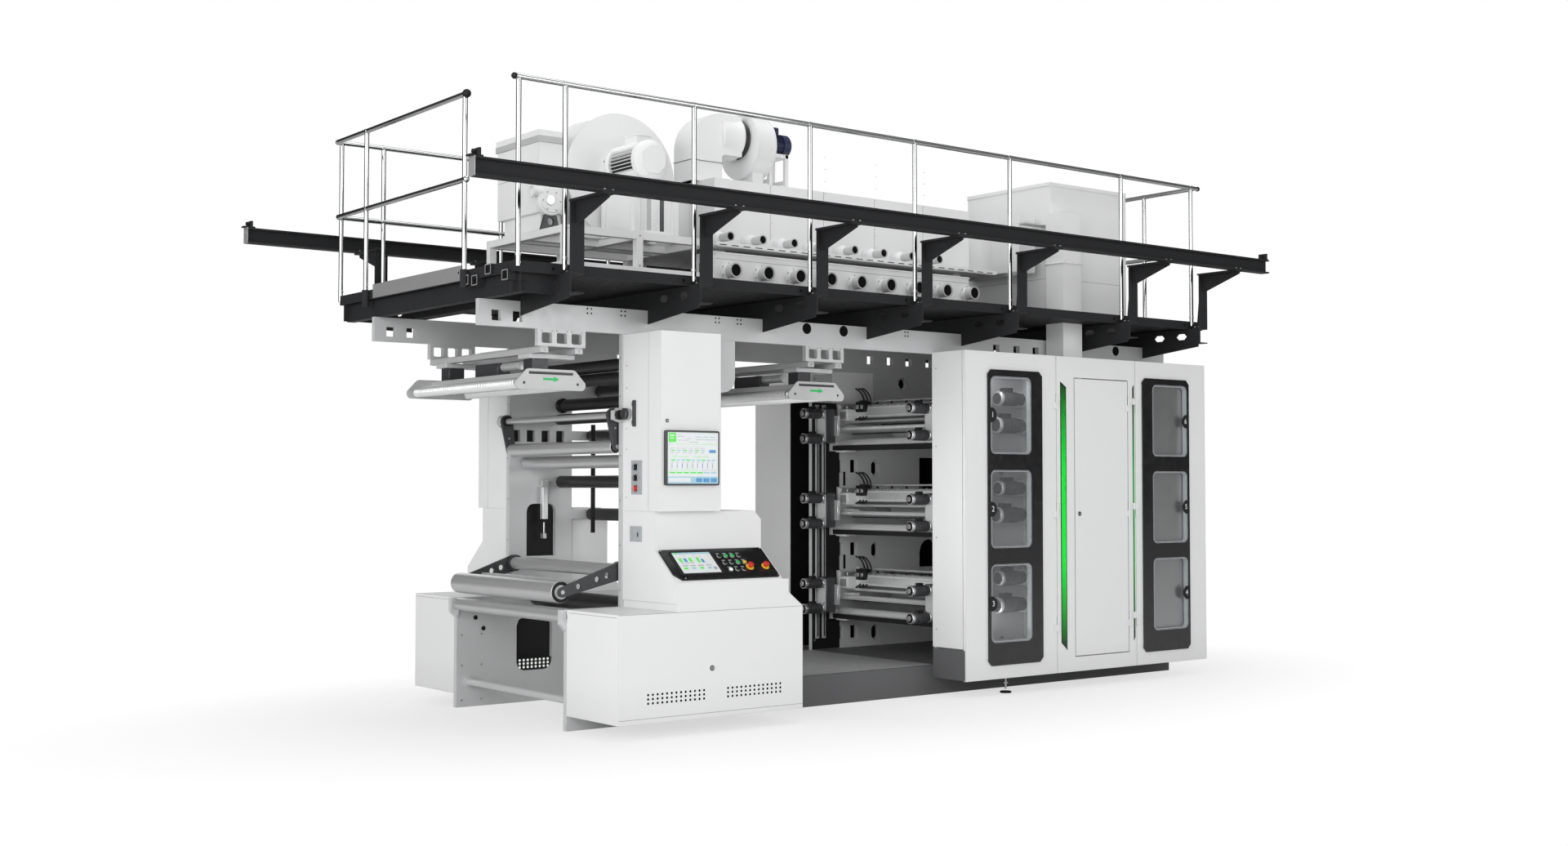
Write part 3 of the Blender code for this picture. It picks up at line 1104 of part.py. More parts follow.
def blower_frame():
    """A welded table of square tube under the blower, its motor and its inlet box."""
    foot = DECK_HIGH + SEAT
    tube = TABLE_TUBE
    levels = (foot + TABLE_STRETCHER, BLOWER_TABLE - tube)
    solids = []
    for x in (TABLE_FRONT, (TABLE_FRONT + TABLE_REAR - tube) / 2, TABLE_REAR - tube):
        for y in (TABLE_NEAR, TABLE_FAR - tube):
            solids.append(box(x, x + tube, y, y + tube, foot, BLOWER_TABLE))
        for z in levels:
            solids.append(box(x + STEP, x + tube - STEP, TABLE_NEAR + STEP, TABLE_FAR - STEP, z + STEP,
                              z + tube - STEP))
    for y in (TABLE_NEAR, TABLE_FAR - tube):
        for z in levels:
            solids.append(box(TABLE_FRONT, TABLE_REAR, y + STEP / 2, y + tube - STEP / 2, z, z + tube))
    for y in (BLOWER_FRONT + tube, BLOWER_FRONT + BLOWER_WIDTH - 2 * tube):
        solids.append(box(TABLE_FRONT + 2 * STEP, TABLE_REAR - 2 * STEP, y, y + tube, BLOWER_TABLE - tube
                          + 2 * STEP,
                          BLOWER_TABLE))
    top = MOTOR_Z - MOTOR_RADIUS - SEAT
    x0, x1 = BLOWER_X - PEDESTAL_HALF, BLOWER_X + PEDESTAL_HALF
    y0, y1 = TABLE_NEAR + 2 * STEP, BLOWER_FRONT - TABLE_STRETCHER
    panel = PEDESTAL_PANEL
    solids.append(box(x0 + panel, x1 - panel, y0 + panel, y1 - panel, BLOWER_TABLE - BITE, top - BITE))
    solids.append(box(x0, x1, y0, y1, top - tube / 2, top))
    solids += [box(x, x + tube, y, y + tube, BLOWER_TABLE - BITE, top - STEP) for x in (x0, x1 - tube)
               for y in (y0, y1 - tube)]
    make("blower_frame", "panel_white", solids)


def main_blower():
    y0, y1 = BLOWER_FRONT, BLOWER_FRONT + BLOWER_WIDTH
    scroll = prism("Y", circle(BLOWER_X, BLOWER_Z, BLOWER_RADIUS, 28), y0, y1)
    rims = [prism("Y", circle(BLOWER_X, BLOWER_Z, BLOWER_RADIUS + BLOWER_RIM, 28), y,
                  y + BLOWER_RIM_SHEET)
            for y in (y0 - BITE / 2, y1 - PROUD)]
    foot = box(BLOWER_X - BLOWER_FOOT_HALF, BLOWER_X + BLOWER_FOOT_HALF, y0 + PROUD, y1 - 2 * PROUD,
               BLOWER_TABLE + SEAT, BLOWER_Z - BLOWER_FOOT_RISE)
    end = TUNNEL_FRONT - SEAT
    outlet = box(BLOWER_X + OUTLET_START, end - PROUD, y0 + OUTLET_INSET, y1 - OUTLET_INSET,
                 BLOWER_Z - OUTLET_LOW,
                 BLOWER_Z - OUTLET_HIGH)
    rim = OUTLET_RIM
    flange = box(end - OUTLET_FLANGE, end, y0 + OUTLET_INSET - rim, y1 - OUTLET_INSET + rim,
                 BLOWER_Z - OUTLET_LOW - rim, BLOWER_Z - OUTLET_HIGH + rim)
    make("main_blower", "panel_white", [scroll, *rims, foot, outlet, flange])


def blower_motor():
    rear = BLOWER_FRONT - BITE / 2 - SEAT
    front = rear - MOTOR_LENGTH
    core, cowl, bell, tip = (MOTOR_RADIUS * share for share in MOTOR_SHARES)
    body = [(front, tip), (front + COWL_BEVEL, cowl), (front + COWL, cowl), (front + COWL, core),
            (rear - BELL, core), (rear - BELL, bell), (rear - BELL_BEVEL, bell), (rear, tip)]
    solids = [turned("Y", BLOWER_X, MOTOR_Z, body, 10)]
    for i in range(FINS):
        fin = box(-FIN_SHEET / 2, FIN_SHEET / 2, front + COWL + PROUD, rear - BELL - BITE, core - PROUD,
                  bell)
        turn = 2 * math.pi * (i + 0.5) / FINS
        spin = Matrix.Translation((BLOWER_X, 0.0, MOTOR_Z)) @ Matrix.Rotation(turn, 4, "Y")
        solids.append(moved(fin, spin))
    solids.append(box(BLOWER_X - MOTOR_FOOT_HALF, BLOWER_X + MOTOR_FOOT_HALF, front + COWL + 2 * PROUD,
                      rear - BELL - 2 * PROUD, MOTOR_Z - MOTOR_RADIUS, MOTOR_Z - tip))
    solids.append(box(BLOWER_X - TERMINAL_HALF, BLOWER_X + TERMINAL_HALF, front + TERMINAL_INSET,
                      rear - TERMINAL_INSET,
                      MOTOR_Z + tip, MOTOR_Z + core + TERMINAL_HALF))
    make("blower_motor", "panel_white", solids)


def inlet_box():
    x0, x1, low, high = INLET_FRONT, INLET_REAR, INLET_LOW, INLET_HIGH
    y0, y1 = BLOWER_FRONT, BLOWER_FRONT + INLET_DEPTH
    lid = INLET_LID_OUT
    chute = INLET_CHUTE
    solids = [box(x0, x1, y0, y1, low, high),
              box(x0 - lid, x1 + lid / 2, y0 - lid, y1 + lid, high - BITE, high + INLET_LID),
              box(x0 + chute, x1 - lid, y0 + chute, y1 - chute, BLOWER_TABLE + SEAT, low + BITE)]
    make("inlet_box", "panel_white", solids)


def dryer_fan():
    """A fan whose shaft runs along the machine, fed by a square elbow on the tunnel's roof."""
    base = TUNNEL_HIGH + SEAT
    top = INTAKE_Z + INTAKE_RADIUS
    bend = ELBOW_REAR - ELBOW_FRONT
    elbow = [(ELBOW_FRONT, base), (ELBOW_REAR, base), (ELBOW_REAR, ELBOW_SPRING),
             (ELBOW_REAR + ELBOW_THROAT, INTAKE_Z - INTAKE_RADIUS), (ELBOW_END, INTAKE_Z - INTAKE_RADIUS),
             (ELBOW_END, top)]
    elbow += arc(ELBOW_FRONT + bend, top - bend, bend, 90, 180, 5)
    duct = prism("Y", elbow, FAN_Y - ELBOW_HALF, FAN_Y + ELBOW_HALF)
    collar = rod("X", FAN_Y, INTAKE_Z, INTAKE_RADIUS + STEP, ELBOW_REAR, ELBOW_END - STEP, 12)
    rim = rod("X", FAN_Y, INTAKE_Z, INTAKE_RADIUS + INTAKE_RIM, ELBOW_END - INTAKE_RIM_SHEET, ELBOW_END
              + STEP, 12)
    neck = rod("X", FAN_Y, INTAKE_Z, INTAKE_NECK, ELBOW_END - BITE, FAN_FRONT + BITE, 12)
    rear = FAN_FRONT + FAN_WIDTH
    scroll = rod("X", FAN_Y, FAN_Z, FAN_RADIUS, FAN_FRONT, rear, 18)
    foot = box(FAN_FRONT + (FAN_WIDTH - FAN_FOOT_WIDTH) / 2, rear - (FAN_WIDTH - FAN_FOOT_WIDTH) / 2,
               FAN_Y - FAN_FOOT_HALF, FAN_Y + FAN_FOOT_HALF, base, FAN_Z - FAN_RADIUS / 2)
    motor = turned("X", FAN_Y, INTAKE_Z, [(rear - BITE, FAN_MOTOR_RADIUS),
                                          (FAN_MOTOR_END - FAN_MOTOR_BEVEL, FAN_MOTOR_RADIUS),
                                          (FAN_MOTOR_END, FAN_MOTOR_RADIUS - FAN_MOTOR_BEVEL)], 10)
    high = INTAKE_Z - FAN_MOTOR_RADIUS + PROUD
    y0, y1 = FAN_Y - STAND_HALF, FAN_Y + STAND_HALF
    tube = STAND_TUBE
    stand = [box(STAND_FRONT, STAND_REAR, y0, y1, high - tube, high)]
    stand += [box(x, x + tube, y, y + tube, base, high - STEP) for x in (STAND_FRONT, STAND_REAR - tube)
              for y in (y0, y1 - tube)]
    make("dryer_fan", "panel_white", [duct, collar, rim, neck, scroll, foot, motor] + stand)


def dryer_tunnel():
    y0, y1 = TUNNEL_NEAR, TUNNEL_FAR
    inset = TUNNEL_LEG_INSET
    shelf = TUNNEL_LOW + BITE
    solids = [box(TUNNEL_FRONT, TUNNEL_REAR, y0, y1, TUNNEL_LOW, TUNNEL_HIGH),
              box(SHELF_FRONT, SHELF_REAR, y0 - SHELF_WIDTH, y0 + PROUD, shelf - SHELF_SHEET, shelf)]
    solids += legs(TUNNEL_FRONT + inset, TUNNEL_REAR - inset, y0 + inset, y1 - inset, LEG, shelf)
    for i in range(NOZZLES):
        y = y0 - NOZZLE_Y
        profile = [(y - NOZZLE_REACH, NOZZLE_PIPE), (y - NOZZLE_NECK, NOZZLE_PIPE), (y, NOZZLE_CUP)]
        solids.append(turned("Y", NOZZLE_FIRST + i * NOZZLE_PITCH, shelf + NOZZLE_UP,
                             profile + [(y + NOZZLE_Y + BITE, NOZZLE_CUP)], 6))
    solids.append(box(TUNNEL_REAR - BITE, EXHAUST_FRONT - SEAT, y0 + LINK_NEAR, y1 - LINK_FAR, TUNNEL_LOW
                      + LINK_INSET,
                      TUNNEL_HIGH - LINK_INSET))
    make("dryer_tunnel", "panel_white", solids)


def air_manifold():
    solids = [box(MANIFOLD_FRONT, MANIFOLD_REAR, MANIFOLD_NEAR, MANIFOLD_FAR, MANIFOLD_LOW,
                  MANIFOLD_HIGH)]
    z = (MANIFOLD_LOW + MANIFOLD_HIGH) / 2 - STUB_DROP
    for i in range(STUBS):
        x = MANIFOLD_FRONT + STUB_START + i * NOZZLE_PITCH
        solids.append(rod("Y", x, z, STUB_RADIUS, MANIFOLD_NEAR - STUB_REACH, MANIFOLD_NEAR + BITE, 10))
    for x in (MANIFOLD_FRONT + MANIFOLD_LEG_START, MANIFOLD_REAR - MANIFOLD_LEG_END):
        solids.append(box(x, x + MANIFOLD_LEG, MANIFOLD_NEAR + MANIFOLD_LEG_INSET,
                          MANIFOLD_FAR - MANIFOLD_LEG_INSET,
                          DECK_HIGH + SEAT, MANIFOLD_LOW + BITE))
    make("air_manifold", "panel_white", solids)


def exhaust_box():
    inset = EXHAUST_LEG_INSET
    solids = [box(EXHAUST_FRONT, EXHAUST_REAR, EXHAUST_NEAR, EXHAUST_FAR, EXHAUST_LOW, EXHAUST_HIGH)]
    solids += legs(EXHAUST_FRONT + inset, EXHAUST_REAR - inset, EXHAUST_NEAR + inset,
                   EXHAUST_FAR - inset, LEG,
                   EXHAUST_LOW + BITE)
    solids.append(box(DUCT_FRONT, DUCT_REAR, DUCT_NEAR, DUCT_FAR, CABINET_TOP + SEAT, DUCT_HIGH))
    solids.append(box(EXHAUST_FRONT + DUCT_LINK_INSET, DUCT_REAR - DUCT_LINK_INSET,
                      DUCT_FAR - DUCT_LINK_BITE,
                      EXHAUST_NEAR + DUCT_LINK_BITE, DUCT_HIGH - DUCT_LINK_LOW,
                      DUCT_HIGH - DUCT_LINK_HIGH))
    make("exhaust_box", "panel_white", solids)


def build():
    clear_scene()
    press_root()
    for name, side in (("near", NEAR), ("far", FAR)):
        side_frame(name + "_frame", side)
        console(name + "_console", side)
        column_cover(name + "_column_cover", side)
        beam(name + "_beam", side)
        crane_rail(name + "_crane_rail", side)
        print_frame(name + "_print_frame", side)
    idler_rollers()
    dancer()
    swing_arm()
    tie_tube()
    control_panel()
    column_screen()
    for number, front in enumerate(TAB_FRONTS, 1):
        web_guide("web_guide_" + str(number), front)
    walkway_frame()
    walkway_deck()
    long_handrail("near_handrail", NEAR, (RAIL_HIGH,))
    long_handrail("far_handrail", FAR, (RAIL_MIDDLE, RAIL_HIGH))
    end_handrails()
    platform()
    for number, level in enumerate(reversed(level_heights()), 1):
        print_station("print_station_" + str(number), level, -1)
        print_station("print_station_" + str(2 * LEVELS + 1 - number), level, 1)
    print_cabinet()
    window_door("left_window_door", "left_door_glass", DOOR_LEFT, CABINET_FRONT)
    window_door("right_window_door", "right_door_glass", DOOR_RIGHT, CABINET_REAR)
    service_door()
    far_print_cabinet()
    blower_frame()
    main_blower()
    blower_motor()
    inlet_box()
    dryer_fan()
    dryer_tunnel()
    air_manifold()
    exhaust_box()


build()
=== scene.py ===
"""Scene of a flexographic printing press: finishes, fittings, floor, light and camera.

Places are given as in the part: x from the front of the unwind frame, y from the machine's middle, z up from the
floor. CENTRE_X moves them onto the frame that the bodies share.
"""
import math
from itertools import product

import bmesh
import bpy
from mathutils import Matrix, Vector


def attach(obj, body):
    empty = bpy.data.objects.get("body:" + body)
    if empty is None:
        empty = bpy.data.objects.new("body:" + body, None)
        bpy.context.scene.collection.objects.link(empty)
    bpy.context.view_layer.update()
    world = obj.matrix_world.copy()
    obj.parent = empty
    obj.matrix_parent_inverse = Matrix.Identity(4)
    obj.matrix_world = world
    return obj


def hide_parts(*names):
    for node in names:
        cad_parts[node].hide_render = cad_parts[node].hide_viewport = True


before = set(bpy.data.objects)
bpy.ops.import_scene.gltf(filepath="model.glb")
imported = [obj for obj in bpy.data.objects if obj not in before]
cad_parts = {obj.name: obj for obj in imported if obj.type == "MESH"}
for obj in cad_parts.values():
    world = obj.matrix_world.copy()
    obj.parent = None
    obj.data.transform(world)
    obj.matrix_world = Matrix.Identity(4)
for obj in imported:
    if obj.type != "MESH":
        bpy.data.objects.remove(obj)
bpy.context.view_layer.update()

CENTRE_X = 2.475
HALF = 0.7865            # middle to the outer face of the side plates
INNER = 0.7465           # middle to their inner face
NEAR, FAR = -1, 1
SEAT = 0.0003            # clearance between pieces that rest on each other

# Finishes

MATERIALS = {}


def fill(tree, node, numbered=None, **named):
    """Set a node's own settings (small letter) and its inputs (by number or capital letter), to values or outputs."""
    inputs = dict(numbered or {})
    for name, value in named.items():
        if name[0].isupper():
            inputs[name.replace("_", " ")] = value
        else:
            setattr(node, name, value)
    for name, value in inputs.items():
        if isinstance(value, bpy.types.NodeSocket):
            tree.links.new(value, node.inputs[name])
        else:
            node.inputs[name].default_value = value
    return node


def node(tree, kind, output=0, numbered=None, **named):
    """Add a node and return one of its outputs."""
    return fill(tree, tree.nodes.new("ShaderNode" + kind), numbered, **named).outputs[output]


def shader_of(tree, **named):
    return fill(tree, tree.nodes["Principled BSDF"], **named)


def blend(tree, share, first, second):
    return node(tree, "Mix", 2, {0: share, 6: first, 7: second}, data_type="RGBA")


def times(tree, first, second, clamp=False):
    return node(tree, "Math", 0, {0: first, 1: second}, operation="MULTIPLY", use_clamp=clamp)


def finish(key, colour, rough, metal=0.0, vary=0.05, patch=2.0, rough_vary=0.07, grain=(350, 350, 350), bump=0.04,
           soft=0.0025, wear=None, coat=0.0, floor_shade=None, shine=0.5):
    """A finish with cloudy colour, uneven gloss, fine grain, softened edges, worn places and painted shade low down."""
    made = bpy.data.materials.new(key)
    made.use_nodes = True
    tree = made.node_tree
    place = node(tree, "TexCoord", "Object")
    clouds = node(tree, "TexNoise", Vector=place, Scale=patch, Detail=6.0, Roughness=0.62)
    dark, light = [(*[min(1.0, c * (1 + way * vary)) for c in colour], 1.0) for way in (-1, 1)]
    result = blend(tree, clouds, dark, light)
    smudge = node(tree, "TexNoise", Vector=place, Scale=patch * 8, Detail=4.0)
    gloss = node(tree, "MapRange", Value=smudge, From_Min=0.3, From_Max=0.7, To_Min=max(0.02, rough - rough_vary),
                 To_Max=min(1.0, rough + rough_vary))
    stretched = node(tree, "Mapping", Vector=place, Scale=grain)
    fine = node(tree, "TexNoise", Vector=stretched, Scale=1.0, Detail=2.0)
    relief = {"Height": fine, "Strength": bump, "Distance": 0.002}
    if soft:
        relief["Normal"] = node(tree, "Bevel", Radius=soft, samples=3)
    if soft and wear:
        surface = node(tree, "NewGeometry", "Normal")
        match = node(tree, "VectorMath", "Value", {0: relief["Normal"], 1: surface}, operation="DOT_PRODUCT")
        edge = node(tree, "MapRange", Value=match, From_Min=0.985, From_Max=0.90)
        result = blend(tree, times(tree, edge, smudge, True), result, (*wear, 1.0))
    # painted shade: the colour darkens in cloudy patches towards the floor
    if floor_shade:
        low, high, shade_tint = floor_shade
        height = node(tree, "SeparateXYZ", "Z", Vector=place)
        fade = node(tree, "MapRange", Value=height, From_Min=high, From_Max=low, To_Max=0.8)
        result = blend(tree, times(tree, fade, clouds, True), result, (*shade_tint, 1.0))
    shader_of(tree, Metallic=metal, Coat_Weight=coat, Coat_Roughness=0.08, Specular_IOR_Level=shine, Roughness=gloss,
              Normal=node(tree, "Bump", 0, relief), Base_Color=result)
    MATERIALS[key] = made
    return made


def glowing(key, colour, strength, fades=()):
    """A lit surface. Each fade is the height where it is dark and the one where it is fully lit."""
    tree = finish(key, [c * (0.08 if fades else 0.6) for c in colour], 0.3, soft=0).node_tree
    light = strength
    if fades:
        height = node(tree, "SeparateXYZ", "Z", Vector=node(tree, "TexCoord", "Object"))
        light = times(tree, *[node(tree, "MapRange", Value=height, From_Min=dark, From_Max=full,
                                   To_Max=math.sqrt(strength)) for dark, full in fades])
    shader_of(tree, Emission_Color=(*colour, 1.0), Emission_Strength=light)


# the panels carry painted shade that darkens them below 0.35 m
finish("panel", (0.80, 0.803, 0.806), 0.38, vary=0.010, patch=0.8, bump=0.05, grain=(260, 260, 260), soft=0.004,
       rough_vary=0.06, floor_shade=(0.0, 0.35, (0.62, 0.62, 0.62)), shine=0.35)
finish("plant", (0.83, 0.833, 0.836), 0.42, vary=0.018, patch=1.5, bump=0.06, soft=0.005, shine=0.35)
finish("guide_plate", (0.52, 0.523, 0.526), 0.38, metal=0.15, vary=0.03, patch=3, bump=0.05, soft=0.003)
finish("lid_grey", (0.50, 0.503, 0.506), 0.42, vary=0.03, patch=3, bump=0.06, soft=0.004)
finish("frame", (0.60, 0.605, 0.61), 0.40, metal=0.15, vary=0.035, patch=1.6, bump=0.05, soft=0.003,
       wear=(0.75, 0.75, 0.76))
finish("charcoal", (0.026, 0.0265, 0.028), 0.50, vary=0.14, patch=2.5, bump=0.08, soft=0.003,
       wear=(0.13, 0.13, 0.135), shine=0.08)
finish("deck", (0.018, 0.0185, 0.0195), 0.55, vary=0.2, patch=3.0, bump=0.25, grain=(120, 120, 120), soft=0.003,
       wear=(0.14, 0.14, 0.14), shine=0.10)
finish("toe_grey", (0.24, 0.24, 0.243), 0.45, vary=0.06, bump=0.08, soft=0.002)
finish("floor_plate", (0.115, 0.116, 0.119), 0.50, vary=0.12, patch=1.4, bump=0.15, grain=(90, 90, 90), soft=0.004,
       wear=(0.22, 0.22, 0.22), shine=0.3)
# painted light: a lighter copy of the floor plate for the platform's top
finish("tread_painted_light", (0.30, 0.302, 0.306), 0.50, vary=0.10, patch=1.2, bump=0.15, grain=(90, 90, 90), soft=0.003)
finish("pale_metal", (0.74, 0.745, 0.75), 0.34, metal=0.25, vary=0.04, patch=4, grain=(4, 300, 4), soft=0.002)
finish("black", (0.010, 0.010, 0.011), 0.22, vary=0.1, bump=0.02, soft=0.0015, coat=0.3)
finish("matt_black", (0.012, 0.012, 0.0125), 0.55, vary=0.2, bump=0.15, soft=0.001, shine=0.25)
finish("rubber", (0.020, 0.020, 0.021), 0.40, vary=0.2, patch=5, bump=0.06, grain=(3, 300, 3), soft=0.002)
finish("rough_rubber", (0.03, 0.03, 0.032), 0.6, vary=0.3, patch=12, bump=0.6, grain=(90, 90, 90), soft=0.002)
finish("gunmetal", (0.060, 0.061, 0.064), 0.36, metal=0.4, vary=0.12, patch=6, bump=0.08, soft=0.002,
       wear=(0.30, 0.30, 0.31))
finish("steel", (0.60, 0.605, 0.61), 0.30, metal=0.8, patch=4, bump=0.05, grain=(4, 400, 4), soft=0.0015)
finish("satin_roll", (0.56, 0.563, 0.568), 0.32, metal=0.55, vary=0.04, patch=3, bump=0.035, rough_vary=0.04,
       grain=(3, 260, 3), soft=0.002)
finish("bright_steel", (0.80, 0.805, 0.81), 0.22, metal=0.5, vary=0.03, patch=4, bump=0.03, rough_vary=0.04,
       grain=(4, 300, 4), soft=0.0015)
finish("chrome", (0.52, 0.525, 0.53), 0.10, metal=1.0, vary=0.03, patch=6, bump=0.02, rough_vary=0.03, soft=0)
finish("aluminium", (0.74, 0.745, 0.75), 0.34, metal=0.6, vary=0.04, patch=4, bump=0.05, grain=(300, 6, 300),
       soft=0.0015)
finish("zinc", (0.48, 0.48, 0.47), 0.34, metal=0.9, vary=0.12, patch=30, bump=0.05, soft=0.0008)
finish("navy", (0.016, 0.022, 0.070), 0.38, vary=0.12, patch=8, bump=0.10, soft=0.002, wear=(0.12, 0.14, 0.22))
finish("motor_grey", (0.040, 0.041, 0.044), 0.42, vary=0.15, patch=9, bump=0.12, soft=0.002, wear=(0.22, 0.22, 0.23))
finish("seam", (0.12, 0.12, 0.125), 0.7, vary=0.1, soft=0)
# near-black for holes, bores, slots and sockets, and for the painted shade sheet inside the far cabinet
finish("dark_hole", (0.006, 0.006, 0.006), 0.85, vary=0.2, soft=0, shine=0.1)
finish("screen_white", (0.80, 0.83, 0.84), 0.25, vary=0.01, soft=0)
finish("screen_blue", (0.10, 0.33, 0.62), 0.25, soft=0)
finish("screen_cyan", (0.42, 0.66, 0.76), 0.25, soft=0)
finish("screen_grey", (0.40, 0.43, 0.45), 0.3, soft=0)
finish("red", (0.62, 0.020, 0.012), 0.30, vary=0.08, patch=20, bump=0.03, soft=0.001, coat=0.3)
finish("yellow", (0.80, 0.50, 0.02), 0.40, vary=0.08, patch=20, bump=0.03, soft=0.001)
finish("green_mark", (0.0, 0.50, 0.10), 0.35, vary=0.06, patch=20, bump=0.03, soft=0)
glowing("screen_green", (0.12, 0.75, 0.10), 0.5)
glowing("led", (0.0, 0.74, 0.035), 1.0, ((0.36, 1.00), (2.40, 1.72)))
glowing("led_thin", (0.0, 0.62, 0.035), 1.0, ((0.40, 1.00), (2.36, 1.72)))
# a white glow for the panel's pilot lamp, and painted light in the holes of the low guard
glowing("lamp_and_painted_glow_white", (0.9, 0.95, 0.9), 0.5)
# a clear sheet that lets the works behind it show, and the right door's, which mirrors the hall
clear = finish("pane", (0.30, 0.31, 0.32), 0.06, vary=0.03, bump=0.01, soft=0, shine=0.8)
clear.surface_render_method = "BLENDED"
shader_of(clear.node_tree, Alpha=0.16)
finish("mirror_pane", (0.42, 0.425, 0.43), 0.30, metal=0.85, vary=0.12, patch=1.2, bump=0.0, rough_vary=0.02, soft=0)

CAD_FINISHES = {
    "frame": "near_frame far_frame near_beam far_beam near_print_frame far_print_frame tie_tube",
    "panel": "near_console far_console near_column_cover far_column_cover near_print_cabinet left_window_door "
             "right_window_door service_door far_print_cabinet",
    "plant": "blower_frame inlet_box dryer_tunnel air_manifold exhaust_box",
    "charcoal": "walkway_frame near_crane_rail far_crane_rail",
    "deck": "walkway_deck",
    "floor_plate": "platform",
    "pane": "left_door_glass",
    "mirror_pane": "right_door_glass",
}
for key, names in CAD_FINISHES.items():
    for name in names.split():
        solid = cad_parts[name]
        solid = bpy.data.objects[solid] if isinstance(solid, str) else solid
        if not solid.data.materials:
            solid.data.materials.append(MATERIALS[key])
        for slot in solid.material_slots:
            slot.material = MATERIALS[key]


# Building pieces

AXES = {"X": (1, 2, 0), "Y": (0, 2, 1), "Z": (0, 1, 2)}
PIECES = []


def spot(axis, a, b, along):
    """A point from two cross coordinates and the place along an axis."""
    point = [0.0, 0.0, 0.0]
    for i, value in zip(AXES[axis], (a, b, along)):
        point[i] = value
    return point


